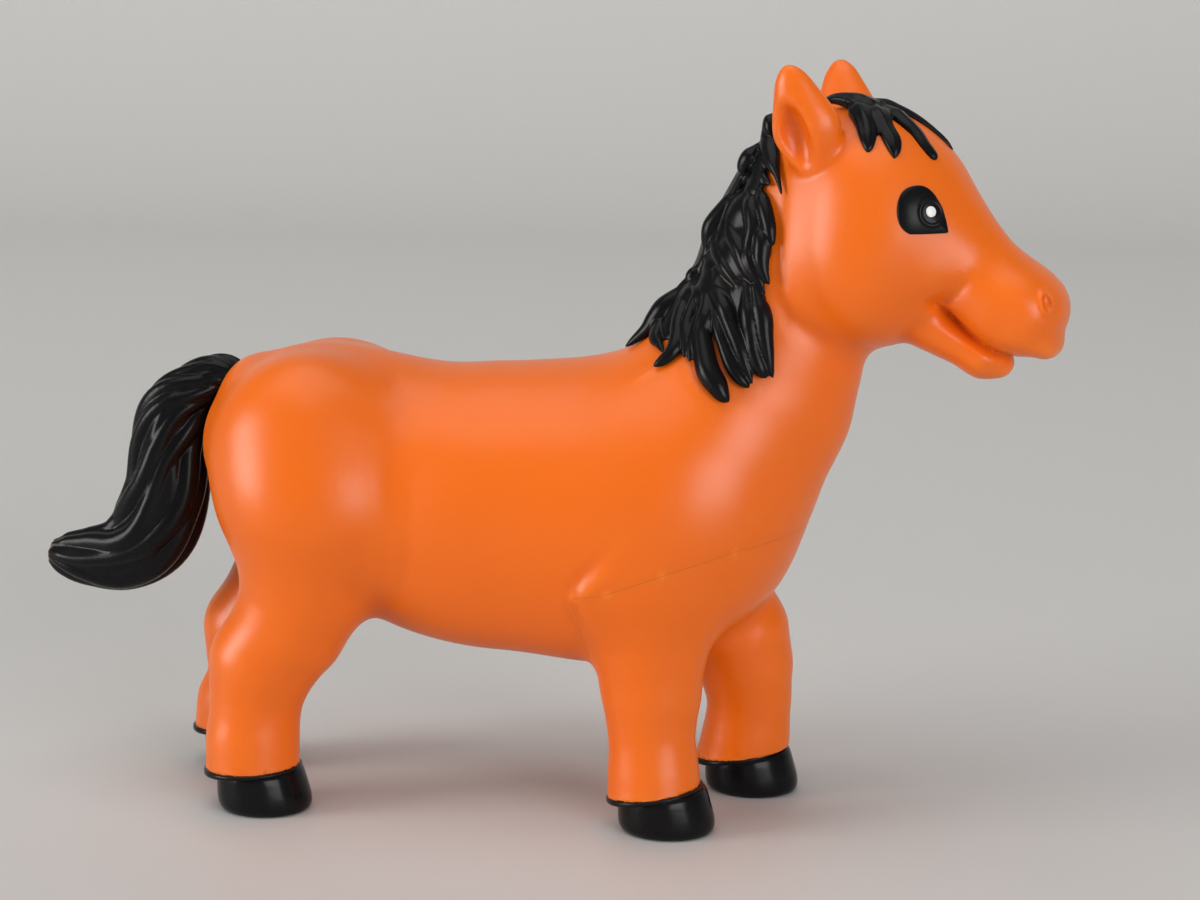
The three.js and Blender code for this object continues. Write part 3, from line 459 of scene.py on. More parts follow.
def plain_mesh(name, verts, faces):
    """A mesh in metres in the shared frame from points in the figure's millimetres."""
    mesh = bpy.data.meshes.new(name)
    mesh.from_pydata(((np.asarray(verts) + GROUND_POINT) * MM).tolist(), [], faces)
    mesh.validate()
    return mesh


def outward(mesh):
    """Turns every face of a closed mesh outwards."""
    edit = bmesh.new()
    edit.from_mesh(mesh)
    bmesh.ops.recalc_face_normals(edit, faces=edit.faces)
    edit.to_mesh(mesh)
    edit.free()
    return mesh


def stored(items, name, width, kind=np.float32):
    """What every vertex or edge of a mesh holds under a name, one row for each."""
    flat = np.empty(len(items) * width, kind)
    items.foreach_get(name, flat)
    return flat.reshape(-1, width)


def mark(mesh, name, values):
    """Stores a value on every point of a mesh."""
    mesh.attributes.new(name, "FLOAT", "POINT").data.foreach_set("value", values)


def points_of(mesh):
    """Vertex positions of a mesh as an array of the figure's millimetres."""
    return stored(mesh.vertices, "co", 3) / MM - GROUND_POINT.astype(np.float32)


def move_points(mesh, p):
    """Writes positions in the figure's millimetres back to a mesh."""
    mesh.vertices.foreach_set("co", ((p + GROUND_POINT) * MM).astype(np.float32).ravel())
    mesh.update()


def mark_ridges(mesh, rounds, reach):
    """Stores how far each point stands out from its neighbours, from -1 in grooves to 1 on ridges."""
    p = points_of(mesh)
    normal = stored(mesh.vertices, "normal", 3)
    a, b = stored(mesh.edges, "vertices", 2, np.int32).T
    count = np.maximum(np.bincount(a, minlength=len(p)) + np.bincount(b, minlength=len(p)), 1)

    def around(values):
        summed = np.zeros_like(values)
        np.add.at(summed, a, values[b])
        np.add.at(summed, b, values[a])
        return summed / (count[:, None] if values.ndim > 1 else count)

    soft = p
    for _ in range(rounds):
        soft = (soft + around(soft)) / 2
    stands = np.clip(((p - soft) * normal).sum(-1) / reach, -1, 1)
    for _ in range(2):
        stands = (stands + around(stands)) / 2
    mark(mesh, "ridge", stands.astype(np.float32))


def placed(name, data):
    """An object that is linked into the scene."""
    made = bpy.data.objects.new(name, data)
    bpy.context.collection.objects.link(made)
    return made


def add_piece(name, mesh, material, body, slot, *nodes, sharp, ridges=None):
    """Shades a finished mesh and adds it as a piece that rides on a body and stands for its nodes."""
    mesh.shade_smooth()
    mesh.set_sharp_from_angle(angle=radians(sharp))
    if ridges:
        mark_ridges(mesh, *ridges)
    mesh.materials.clear()
    mesh.materials.append(material)
    piece = placed(name, mesh)
    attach(piece, body)
    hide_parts(*nodes)


def node(tree, kind, at, group=None, **inputs):
    """A node with its inputs set by name; a group node gets its tree first."""
    made = tree.nodes.new(kind)
    made.location = at
    if group:
        made.node_tree = group
    set_inputs(made, **inputs)
    return made


def set_inputs(made, **inputs):
    """Sets inputs of a node by name, with underscores for spaces."""
    for name, value in inputs.items():
        made.inputs[name.replace("_", " ")].default_value = value


def wire(tree, *links):
    """Links nodes: each link names a node, its output, another node and its input."""
    for source, leaves, target, arrives in links:
        tree.links.new(source.outputs[leaves], target.inputs[arrives])


def new_material(name):
    """A material with its node tree and its shader."""
    material = bpy.data.materials.new(name)
    material.use_nodes = True
    return material, material.node_tree, material.node_tree.nodes["Principled BSDF"]


def colour_mix(tree, at, first, second):
    """A mix of two colours; one that isn't given is linked later."""
    made = node(tree, "ShaderNodeMix", at)
    made.data_type = "RGBA"
    for name, colour in (("A", first), ("B", second)):
        if colour:
            made.inputs[name].default_value = (*colour, 1)
    return made


def attribute(tree, name, at):
    """A value stored on the points of the mesh."""
    made = node(tree, "ShaderNodeAttribute", at)
    made.attribute_name = name
    return made


def surface_marks():
    """Shader group for cast and painted vinyl: cloudy tone and fine grain."""
    group = bpy.data.node_groups.new("surface_marks", "ShaderNodeTree")
    for name, value in (("Cloud Scale", 40.0), ("Grain Scale", 900.0)):
        socket = group.interface.new_socket(name, in_out="INPUT", socket_type="NodeSocketFloat")
        socket.default_value = value
    for name in ("Cloud", "Grain"):
        group.interface.new_socket(name, in_out="OUTPUT", socket_type="NodeSocketFloat")
    given = node(group, "NodeGroupInput", (-700, 0))
    shown = node(group, "NodeGroupOutput", (300, 0))
    place = node(group, "ShaderNodeTexCoord", (-700, -300))
    for name, detail, at in (("Cloud", 4.0, 250), ("Grain", 2.0, 0)):
        noise = node(group, "ShaderNodeTexNoise", (-400, at), Detail=detail)
        wire(
            group,
            (place, "Object", noise, "Vector"),
            (given, name + " Scale", noise, "Scale"),
            (noise, "Fac", shown, name),
        )
    return group


SURFACE_MARKS = surface_marks()


def vinyl_material():
    """Soft orange vinyl: satin, a little see-through, with painted shade in the creases and a painted
    highlight on the ridges.
    """
    material, tree, shader = new_material("orange_vinyl")
    marks = node(tree, "ShaderNodeGroup", (-900, 0), SURFACE_MARKS)
    ridge = attribute(tree, "ridge", (-900, -300))
    tone = colour_mix(tree, (-600, 200), ORANGE, [VINYL_CLOUD * c for c in ORANGE])
    # Painted shade: the colour darkens in grooves and creases.
    hollow = node(tree, "ShaderNodeMapRange", (-600, -150), From_Min=0.0, From_Max=-0.6, To_Max=0.95)
    painted_shade = colour_mix(tree, (-350, 150), None, ORANGE_PAINTED_SHADE)
    # Painted highlight: the colour turns paler on ridges and raised edges.
    high = node(tree, "ShaderNodeMapRange", (-600, -400), From_Min=0.1, From_Max=0.7, To_Max=0.5)
    pale = colour_mix(tree, (-150, 150), None, ORANGE_PAINTED_HIGHLIGHT)
    rough = node(tree, "ShaderNodeMapRange", (-350, -150), To_Min=VINYL_ROUGH[0], To_Max=VINYL_ROUGH[1])
    bump = node(tree, "ShaderNodeBump", (-350, -450), Strength=0.05, Distance=0.0004)
    wire(
        tree,
        (marks, "Cloud", tone, "Factor"),
        (ridge, "Fac", hollow, "Value"),
        (hollow, "Result", painted_shade, "Factor"),
        (tone, "Result", painted_shade, "A"),
        (ridge, "Fac", high, "Value"),
        (high, "Result", pale, "Factor"),
        (painted_shade, "Result", pale, "A"),
        (pale, "Result", shader, "Base Color"),
        (marks, "Cloud", rough, "Value"),
        (rough, "Result", shader, "Roughness"),
        (marks, "Grain", bump, "Height"),
        (bump, "Normal", shader, "Normal"),
    )
    set_inputs(
        shader,
        Specular_IOR_Level=VINYL_SPECULAR,
        Subsurface_Weight=VINYL_SEE_THROUGH,
        Subsurface_Radius=(1.0, 0.35, 0.1),
        Subsurface_Scale=VINYL_GLOW_REACH,
    )
    return material


def seam_side(grow):
    """Closed prism of the region under the seam, grown or shrunk by half the seam's gap."""
    outline = [(x - grow, z + grow) for x, z in SEAM]
    outline += [(SEAM[-1][0] - grow, SEAM_SIDE_LOW), (SEAM[0][0] - grow, SEAM_SIDE_LOW)]
    n = len(outline)
    verts = [(x, y, z) for y in (-SEAM_SIDE_Y, SEAM_SIDE_Y) for x, z in outline]
    faces = [list(range(n)), list(range(2 * n - 1, n - 1, -1))]
    faces += [[i, n + i, n + (i + 1) % n, (i + 1) % n] for i in range(n)]
    return outward(plain_mesh("seam_side", verts, faces))


def evaluated_mesh(holder):
    """Plain mesh of an object with its modifiers applied; the holder is removed."""
    bpy.context.view_layer.update()
    mesh = bpy.data.meshes.new_from_object(holder.evaluated_get(bpy.context.evaluated_depsgraph_get()))
    bpy.data.objects.remove(holder)
    return mesh


def cut(mesh, tool, operation):
    """The part of a mesh outside or inside a closed tool."""
    holder = placed("holder", mesh)
    cutter = placed("cutter", tool)
    work = holder.modifiers.new("cut", "BOOLEAN")
    work.operation = operation
    work.solver = "MANIFOLD"
    work.object = cutter
    made = evaluated_mesh(holder)
    bpy.data.objects.remove(cutter)
    return made


def near_line(q, line, reach):
    """True within reach of a line in the side view."""
    return crease(q[:, 0], q[:, 2], [(x, z, 1, reach) for x, z, _, _ in line]) > 0.4


def near_nostril(q, reach):
    """True within reach of a nostril, in the head's own frame."""
    return np.linalg.norm(mirrored(q) - np.array(NOSTRIL, np.float32), axis=-1) < reach


def fine_zone(p):
    """True where the surface has small detail: mouth, nostrils, ears, seam and coronets."""
    q = to_head(p)
    mouth = near_line(q, MOUTH, MOUTH_FINE) & (q[:, 0] > MOUTH_BACK_X)
    high = q[:, 2] > EAR_BASE[2] - EAR_FINE_LOW
    ears = high & (np.abs(q[:, 1]) > EAR_FINE_IN) & (q[:, 0] < EAR_FINE_AHEAD)
    seam = near_line(p, SEAM_LINE, SEAM_FINE) & (p[:, 0] > SEAM[1][0] - SEAM_BEHIND)
    rim = np.abs(p[:, 2] - coronet(p)) < CORONET_FINE
    return mouth | near_nostril(q, NOSTRIL_FINE) | ears | rim | seam


def finest_zone(p):
    """True along the mouth and round the nostrils, which have the smallest detail."""
    q = to_head(p)
    mouth = near_line(q, MOUTH, MOUTH_FINEST) & (q[:, 0] > MOUTH_BACK_X + 1)
    return mouth | near_nostril(q, NOSTRIL_FINEST)


def nostril_zone(p):
    """True on the thin rims of the nostrils."""
    return near_nostril(to_head(p), NOSTRIL_RIM_FINE)


def refine(mesh, zone):
    """Splits the faces in a zone once and lays the new points on the skin."""
    edit = bmesh.new()
    edit.from_mesh(mesh)
    inside = zone(points_of(mesh))
    edges = [e for e in edit.edges if inside[e.verts[0].index] and inside[e.verts[1].index]]
    bmesh.ops.subdivide_edges(edit, edges=edges, cuts=1, use_grid_fill=True)
    edit.to_mesh(mesh)
    edit.free()
    p = points_of(mesh)
    near = zone(p)
    p[near] = settle(p[near], rounds=4, most=0.6)
    move_points(mesh, p)
    return mesh


skin_points, skin_quads = nets(sample(ROOM_LOW, ROOM_HIGH, SKIN_STEP), ROOM_LOW, SKIN_STEP)
figure = plain_mesh("figure", settle(skin_points, rounds=3, most=0.5), skin_quads.tolist())
figure = refine(refine(refine(figure, fine_zone), finest_zone), nostril_zone)
VINYL = vinyl_material()
add_piece(
    "body_casting", cut(figure.copy(), seam_side(SEAM_GAP / 2), "DIFFERENCE"), VINYL,
    "horse", "orange_vinyl", "body_shell", sharp=SHARP_SEAM, ridges=VINYL_RIDGES,
)

# Forehand casting: both forelegs and the lower breast, in the same orange vinyl.
# It is cast by itself and plugs into the body; a fine seam runs from the elbows to the breast.
add_piece(
    "forehand_casting", cut(figure.copy(), seam_side(-SEAM_GAP / 2), "INTERSECT"), VINYL,
    "horse", "orange_vinyl", "forehand_shell", sharp=SHARP_SEAM, ridges=VINYL_RIDGES,
)

# Hooves: the ends of the legs, dipped in thick gloss black up to the coronet.
# Each is a short barrel with a rounded rim on the ground and a top that rises to the toe.
HOOF_LEAD = 2.2
HOOF_HALF_LENGTH = 8.1
HOOF_HALF_WIDTH = 7.3
HOOF_TOE_FLARE = 2.2
HOOF_WALL = [
    (0, 0.05), (0, 0.80), (0.02, 0.87), (0.06, 0.915), (0.12, 0.95), (0.2, 0.978), (0.32, 0.995),
    (0.46, 1.0), (0.6, 1.0), (0.74, 1.0), (0.86, 0.998), (0.92, 0.985), (0.95, 0.96),
]
COLLAR = [(0.95, -0.35), (0.85, -0.12), (0.7, 0.0), (0.3, 0.02), (0.02, -0.02), (-0.1, -0.2), (-0.1, -6.5)]
COLLAR_AT_TOE = 0.3
COLLAR_FLAT = 0.9
HOOF_NARROWS = 0.06
HOOF_SIDES = 96
PAINT_SPECULAR = 0.15
PAINT_UNEVEN = (0.06, 0.08)
BLACK = (0.0045, 0.0045, 0.0052)
# A grey-green for ridges: partly paint thinned by rubbing, partly a painted sheen highlight.
BLACK_RUBBED_AND_SHEEN = (0.050, 0.054, 0.050)
BARE_TAN = (0.42, 0.30, 0.14)


def black_paint(name, rough, rubbed_and_sheen):
    """Black paint over vinyl, greyed on ridges by rubbing and a painted sheen, and gone where it is bare.
    """
    material, tree, shader = new_material(name)
    marks = node(tree, "ShaderNodeGroup", (-900, 0), SURFACE_MARKS, Cloud_Scale=90.0, Grain_Scale=700.0)
    ridge = attribute(tree, "ridge", (-900, -300))
    # Ridges turn grey-green: partly paint thinned by rubbing, partly a painted sheen highlight.
    worn_and_sheen = node(tree, "ShaderNodeMapRange", (-650, -250), From_Min=0.25, From_Max=1.0, To_Max=rubbed_and_sheen)
    patchy = node(tree, "ShaderNodeMath", (-450, -150))
    patchy.operation = "MULTIPLY"
    tone = colour_mix(tree, (-250, 150), BLACK, BLACK_RUBBED_AND_SHEEN)
    bare = attribute(tree, "bare", (-450, 350))
    chip = colour_mix(tree, (-50, 200), None, BARE_TAN)
    less, more = PAINT_UNEVEN
    sheen = node(tree, "ShaderNodeMapRange", (-450, -400), To_Min=rough - less, To_Max=rough + more)
    bump = node(tree, "ShaderNodeBump", (-250, -450), Strength=0.06, Distance=0.0003)
    wire(
        tree,
        (ridge, "Fac", worn_and_sheen, "Value"),
        (worn_and_sheen, "Result", patchy, 0),
        (marks, "Cloud", patchy, 1),
        (patchy, "Value", tone, "Factor"),
        (bare, "Fac", chip, "Factor"),
        (tone, "Result", chip, "A"),
        (chip, "Result", shader, "Base Color"),
        (marks, "Cloud", sheen, "Value"),
        (sheen, "Result", shader, "Roughness"),
        (marks, "Grain", bump, "Height"),
        (bump, "Normal", shader, "Normal"),
    )
    set_inputs(shader, Specular_IOR_Level=PAINT_SPECULAR)
    return material


def hoof_mesh(name, foot_x, foot_y, leg_r, top, tilt):
    """One hoof: rings from the sole up the flared wall, then a collar as wide as the leg."""
    angles = 2 * pi * np.arange(HOOF_SIDES) / HOOF_SIDES
    rings = []
    for up, size in HOOF_WALL:
        half = (HOOF_HALF_LENGTH - HOOF_TOE_FLARE / 2 * up) * size
        x = foot_x + HOOF_LEAD - HOOF_TOE_FLARE / 2 * up + half * np.cos(angles)
        y = foot_y + HOOF_HALF_WIDTH * (1 - HOOF_NARROWS * up) * size * np.sin(angles)
        rings.append(np.stack([x, y, up * (top + tilt * (x - foot_x))], 1))
    for under, grow in COLLAR:
        shown = 1 - (1 - COLLAR_AT_TOE) * (1 + np.cos(angles)) / 2 if under > 0 else 1
        x = foot_x + (leg_r + grow * shown) * np.cos(angles)
        y = foot_y + (leg_r * LEG_FLAT + grow * shown * COLLAR_FLAT) * np.sin(angles)
        rings.append(np.stack([x, y, top + tilt * (x - foot_x) - under * shown], 1))
    return loft_mesh(name, rings)


def loft_mesh(name, rings):
    """Closed quads through rings of equal count, with a point at each end."""
    n = len(rings[0])
    verts = np.concatenate([rings[0].mean(0)[None], *rings, rings[-1].mean(0)[None]])
    faces = [[0, 1 + (s + 1) % n, 1 + s] for s in range(n)]
    for r, s in product(range(len(rings) - 1), range(n)):
        a, b = 1 + r * n + s, 1 + r * n + (s + 1) % n
        faces.append([a, b, b + n, a + n])
    last = len(verts) - 1
    faces += [[last, last - n + s, last - n + (s + 1) % n] for s in range(n)]
    return outward(plain_mesh(name, verts, faces))


HOOF_BLACK = black_paint("hoof_black", 0.20, 0.3)
for (hoof_name, line), (top, tilt) in zip(LEGS.items(), CORONETS.tolist()):
    foot_x, foot_y, _, leg_r = line[-1]
    mesh = hoof_mesh(hoof_name + "_dip", foot_x, foot_y, leg_r, top, tilt)
    add_piece(
        hoof_name + "_dip", mesh, HOOF_BLACK, "horse", "black_hoof", hoof_name, sharp=60, ridges=(6, 0.4),
    )

# Tail: a solid black brush of grooved strands on a round plug that snaps into the rump.
# The strands run down from the root, sweep back at the bottom and close to a worn, blunt tip.
TAIL_ROOT = np.array([-61.61, 0, 69.51])
TAIL_AXIS = np.array([-0.8601, 0, 0.5101])
TAIL_LINE = [
    (*(TAIL_ROOT - 1.5 * TAIL_AXIS), 3.0), (*(TAIL_ROOT + 1.2 * TAIL_AXIS), 3.3), (-66, 0, 69, 4.1),
    (-70.8, 0, 64.5, 6.0), (-72.9, 0, 58, 6.9), (-73.5, 0, 50, 7.6), (-76.2, 0, 43, 7.9),
    (-81, 0, 39.2, 7.0), (-87, 0, 38.2, 5.5), (-91.6, 0, 38.4, 3.9), (-94.2, 0, 38.9, 2.0),
]
TAIL_FLAT = 0.86
TAIL_STRANDS = 9
TAIL_SWEEP = 3.0
TAIL_SWEEP_LENGTH = 17.0
TAIL_SWEEP_ON = 0.02
TAIL_CORE = 0.8
TAIL_RIDGE_OUT = 0.7
TAIL_RIDGE = 0.29
TAIL_RIDGE_SWELLS = (0.03, 0.2, 3)
TAIL_RIDGE_WANDERS = (0.14, 0.25, 2.4)
TAIL_RIDGE_FLAT = 0.85
TAIL_TIP_BARE = 1.6
TAIL_STEPS = 90
HAIR_VOXEL = 0.2
HAIR_SOFTENED = 0.4
ALL_SMOOTH = 180


def spline(points, count):
    """Points along a smooth curve through the given ones, any number of columns."""
    p = np.array(points, float)
    p = np.vstack([2 * p[0] - p[1], p, 2 * p[-1] - p[-2]])
    t = np.linspace(0, len(p) - 3 - 1e-6, count)
    i = t.astype(int)
    f = (t - i)[:, None]
    a, b, c, d = p[i], p[i + 1], p[i + 2], p[i + 3]
    return b + 0.5 * f * (c - a + f * (2 * a - 5 * b + 4 * c - d + f * (3 * (b - c) + d - a)))


def unit(rows):
    """The same directions, one unit long."""
    return rows / np.linalg.norm(rows, axis=1, keepdims=True)


def run_length(points):
    """How far along a line each of its points lies."""
    return np.concatenate([[0], np.cumsum(np.linalg.norm(np.diff(points, axis=0), axis=1))])


def strand_tree():
    """Geometry nodes: a grooved, flattened profile swept along every line of the input mesh."""
    tree = bpy.data.node_groups.new("hair_strands", "GeometryNodeTree")
    for name, kind in (
        ("Lines", "Geometry"), ("Sides", "Int"), ("Strands", "Float"), ("Groove", "Float"),
        ("Flatness", "Float"), ("Paint", "Material"),
    ):
        tree.interface.new_socket(name, in_out="INPUT", socket_type="NodeSocket" + kind)
    tree.interface.new_socket("Hair", in_out="OUTPUT", socket_type="NodeSocketGeometry")
    given = tree.nodes.new("NodeGroupInput")
    to_curve = tree.nodes.new("GeometryNodeMeshToCurve")
    lie = tree.nodes.new("GeometryNodeInputNamedAttribute")
    lie.data_type = "FLOAT_VECTOR"
    face = tree.nodes.new("GeometryNodeSetCurveNormal")
    face.mode = "FREE"
    girth = tree.nodes.new("GeometryNodeInputNamedAttribute")
    circle = tree.nodes.new("GeometryNodeCurvePrimitiveCircle")
    spot = tree.nodes.new("GeometryNodeInputPosition")
    parts = tree.nodes.new("ShaderNodeSeparateXYZ")
    angle, turns, wave, swell, thin = (tree.nodes.new("ShaderNodeMath") for _ in range(5))
    angle.operation = "ARCTAN2"
    turns.operation = "MULTIPLY"
    wave.operation = "COSINE"
    swell.operation = "MULTIPLY_ADD"
    thin.operation = "MULTIPLY"
    shape = tree.nodes.new("ShaderNodeCombineXYZ")
    grow = tree.nodes.new("ShaderNodeVectorMath")
    grow.operation = "SCALE"
    profile = tree.nodes.new("GeometryNodeSetPosition")
    sweep = tree.nodes.new("GeometryNodeCurveToMesh")
    real = tree.nodes.new("GeometryNodeRealizeInstances")
    paint = tree.nodes.new("GeometryNodeSetMaterial")
    shown = tree.nodes.new("NodeGroupOutput")
    set_inputs(lie, Name="lie")
    set_inputs(girth, Name="girth")
    set_inputs(circle, Radius=1.0)
    set_inputs(sweep, Fill_Caps=True)
    swell.inputs[2].default_value = 1.0
    wire(
        tree,
        (given, "Lines", to_curve, "Mesh"),
        (to_curve, "Curve", face, "Curve"),
        (lie, "Attribute", face, "Normal"),
        (given, "Sides", circle, "Resolution"),
        (spot, "Position", parts, "Vector"),
        (parts, "Y", angle, 0),
        (parts, "X", angle, 1),
        (angle, "Value", turns, 0),
        (given, "Strands", turns, 1),
        (turns, "Value", wave, 0),
        (wave, "Value", swell, 0),
        (given, "Groove", swell, 1),
        (parts, "X", thin, 0),
        (given, "Flatness", thin, 1),
        (thin, "Value", shape, "X"),
        (parts, "Y", shape, "Y"),
        (shape, "Vector", grow, "Vector"),
        (swell, "Value", grow, "Scale"),
        (circle, "Curve", profile, "Geometry"),
        (grow, "Vector", profile, "Position"),
        (face, "Curve", sweep, "Curve"),
        (profile, "Geometry", sweep, "Profile Curve"),
        (girth, "Attribute", sweep, "Scale"),
        (sweep, "Mesh", real, "Geometry"),
        (real, "Geometry", paint, "Geometry"),
        (given, "Paint", paint, "Material"),
        (paint, "Geometry", shown, "Hair"),
    )
    return tree


STRAND_TREE = strand_tree()


def swept(lines, sides, strands, groove, flatness, paint):
    """Mesh of strands swept along lines; a line is points, half widths and outward directions."""
    verts, edges, girths, lies = [], [], [], []
    for points, girth, lie in lines:
        first = len(verts)
        verts += ((points + GROUND_POINT) * MM).tolist()
        edges += [(first + i, first + i + 1) for i in range(len(points) - 1)]
        girths += (np.asarray(girth) * MM).tolist()
        lies += np.asarray(lie, np.float32).tolist()
    mesh = bpy.data.meshes.new("lines")
    mesh.from_pydata(verts, edges, [])
    mark(mesh, "girth", girths)
    mesh.attributes.new("lie", "FLOAT_VECTOR", "POINT").data.foreach_set("vector", np.ravel(lies))
    holder = placed("holder", mesh)
    nodes = holder.modifiers.new("strands", "NODES")
    nodes.node_group = STRAND_TREE
    values = {"Sides": sides, "Strands": float(strands), "Groove": groove, "Flatness": flatness}
    values["Paint"] = paint
    for item in STRAND_TREE.interface.items_tree:
        if item.in_out == "INPUT" and item.name in values:
            nodes[item.identifier] = values[item.name]
    return evaluated_mesh(holder)


def whole(mesh):
    """Keeps the largest connected part of a mesh, without the bubbles inside it."""
    edit = bmesh.new()
    edit.from_mesh(mesh)
    left = set(edit.faces)
    parts = []
    while left:
        part = [left.pop()]
        for face in part:
            beyond = {other for edge in face.edges for other in edge.link_faces} & left
            part.extend(beyond)
            left -= beyond
        parts.append(part)
    parts.sort(key=len)
    loose = [face for part in parts[:-1] for face in part]
    bmesh.ops.delete(edit, geom=loose, context="FACES")
    edit.to_mesh(mesh)
    edit.free()
    return mesh


def fused(meshes, voxel):
    """One closed skin over several overlapping meshes."""
    joined = bmesh.new()
    for mesh in meshes:
        joined.from_mesh(mesh)
    mesh = bpy.data.meshes.new("joined")
    joined.to_mesh(mesh)
    joined.free()
    holder = placed("holder", mesh)
    remesh = holder.modifiers.new("fuse", "REMESH")
    remesh.mode = "VOXEL"
    remesh.voxel_size = voxel * MM
    soften = holder.modifiers.new("soften", "SMOOTH")
    soften.iterations = 2
    soften.factor = HAIR_SOFTENED
    return whole(evaluated_mesh(holder))


def tail_lines():
    """The tail's core, and ridges that sweep from its front edge to its rear edge on their way down."""
    line = spline(TAIL_LINE, TAIL_STEPS)
    path, girth = line[:, :3], line[:, 3]
    ahead = unit(np.gradient(path, axis=0))
    sideways = np.array([0.0, 1.0, 0.0])
    across = np.cross(ahead, sideways)
    core = (path, girth * TAIL_CORE, across)
    gone = run_length(path)
    wind = TAIL_SWEEP * (1 - np.exp(-gone / TAIL_SWEEP_LENGTH)) + TAIL_SWEEP_ON * gone
    wanders, wander_rate, wander_step = TAIL_RIDGE_WANDERS
    swells, swell_rate, swell_step = TAIL_RIDGE_SWELLS
    ridges = []
    for i in range(TAIL_STRANDS):
        turn = 2 * pi * i / TAIL_STRANDS - wind + wanders * np.sin(wander_rate * gone + wander_step * i)
        out = across * np.cos(turn)[:, None] + TAIL_FLAT * sideways * np.sin(turn)[:, None]
        middle = path + out * (girth * TAIL_RIDGE_OUT)[:, None]
        size = girth * (TAIL_RIDGE + swells * np.sin(swell_rate * gone + swell_step * i))
        ridges.append((middle, size, unit(out)))
    return [core], ridges


HAIR_BLACK = black_paint("hair_black", 0.26, 0.8)
tail_core, tail_ridges = tail_lines()
tail_mesh = fused([
    swept(tail_core, 48, 7, 0.04, TAIL_FLAT, HAIR_BLACK),
    swept(tail_ridges, 28, 3, 0.06, TAIL_RIDGE_FLAT, HAIR_BLACK),
], HAIR_VOXEL)
tip_away = np.linalg.norm(points_of(tail_mesh) - np.array(TAIL_LINE[-1][:3]), axis=1) / TAIL_TIP_BARE
tip_bare = np.clip(2 - 1.6 * tip_away, 0, 1).astype(np.float32)
mark(tail_mesh, "bare", tip_bare)
add_piece(
    "tail_brush", tail_mesh, HAIR_BLACK, "tail", "black_hair", "tail", sharp=ALL_SMOOTH, ridges=(8, 0.35),
)

# Mane: raised locks modelled on the crest and near side of the neck, painted black.
# They hang in three tiers of S-shaped locks with grooved faces and narrow ends.
CREST = [
    (25.3, -0.5, 108.5, 0.8), (24, -0.5, 105.5, 2.4), (21.5, -0.5, 100.5, 3.0), (18.5, -0.5, 94.5, 3.2),
    (16.5, -0.5, 89, 3.0), (12.5, -0.5, 83.5, 2.8), (8.5, -0.5, 79.5, 2.0), (6, -0.5, 77.8, 0.8),
]
MANE_TOP = [
    [(28.1, 114, 0.3), (27.2, 112, 1.7), (27.3, 109, 2.1), (28, 106.5, 1.4), (29, 104.5, 0.6),
     (30, 101.5, 0.3)],
    [(25.5, 109, 0.8), (24, 107, 1.6), (23, 105, 1.3), (23.5, 103.5, 1.1), (25.5, 103.5, 0.8),
     (28, 103, 0.3)],
    [(26, 108.5, 1.1), (25, 106, 1.4), (26, 104.5, 1.1), (28, 103, 0.3)],
]
MANE_MIDDLE = [
    [(22.5, 102.5, 0.6), (20.5, 99.5, 1.4), (18, 96, 1.6), (17.5, 93, 1.3), (18, 91, 0.9), (19, 89.5, 0.3)],
    [(22.5, 102.5, 0.8), (21, 99.5, 1.6), (19.5, 96, 1.5), (19.5, 93, 1.4), (21, 90.5, 1.2), (24, 87, 0.3)],
    [(23.5, 102, 1), (22.5, 98.5, 1.6), (22, 95.5, 1.6), (23.5, 93, 1.4), (25, 90, 1), (28, 87, 0.3)],
    [(24.5, 102, 1), (25, 99.5, 1.6), (25.5, 96.5, 1.5), (25, 93.5, 1.2), (25.5, 91, 1.3), (28, 86.5, 0.3)],
    [(26, 102.5, 0.8), (27, 100, 1.3), (28, 97, 1.2), (28.5, 95, 0.8), (29, 94, 0.3)],
    [(26.5, 97, 1), (27, 94.5, 1.5), (27, 92, 1.4), (27.5, 90, 0.9), (28.5, 88, 0.3)],
]
MANE_LOW = [
    [(16.5, 90, 1), (15, 88, 1.2), (15, 86.5, 1.1), (16.5, 86, 0.9), (17.5, 84.5, 0.5)],
    [(17, 88.5, 0.8), (14.5, 86.5, 1), (11, 83.5, 1.9), (9, 81, 1.8), (7.5, 79, 1.3), (4.5, 76.5, 0.6)],
    [(16, 89, 0.8), (13.5, 86, 1), (11, 81.5, 1.6), (10, 79, 1.3), (11, 78, 0.7), (12, 77, 0.3)],
    [(14.5, 87.5, 0.8), (14, 82, 1.6), (14, 79.5, 1.5), (13.5, 77.5, 1.3), (12, 76, 1), (10.5, 75, 0.4)],
    [(17, 87.5, 0.8), (15.5, 82, 1.2), (15.5, 79.5, 1.1), (15.5, 76.5, 0.3)],
    [(18, 85, 0.7), (17, 80.5, 0.9), (16.5, 78, 0.7), (16.5, 76, 0.3)],
    [(18, 88.5, 1), (18.5, 83.5, 1.6), (18, 80.5, 1.6), (18.5, 78, 1.7), (19.5, 75, 1.9), (21, 73, 1.7),
     (22, 71.5, 1.2), (23, 70.5, 0.6)],
    [(19, 87, 0.7), (20.5, 81.5, 0.9), (21.5, 79, 0.9), (23, 76, 1.1), (24.5, 74, 1), (26, 72.5, 0.4)],
    [(17.5, 88.5, 1), (21, 85, 1.4), (22.5, 82, 1.2), (24, 79, 1.2), (25, 76.5, 1), (26.5, 73, 0.3)],
    [(24.5, 88, 1), (25.5, 83, 1.5), (26, 80.5, 1.4), (26.5, 78, 1.3), (27.5, 75.5, 1.2), (28.5, 74, 0.5)],
    [(26, 88, 1.1), (27.5, 83.5, 1.6), (28, 80.5, 1.4), (28.5, 78, 1.1), (29, 75.5, 0.7), (29.5, 74, 0.3)],
]
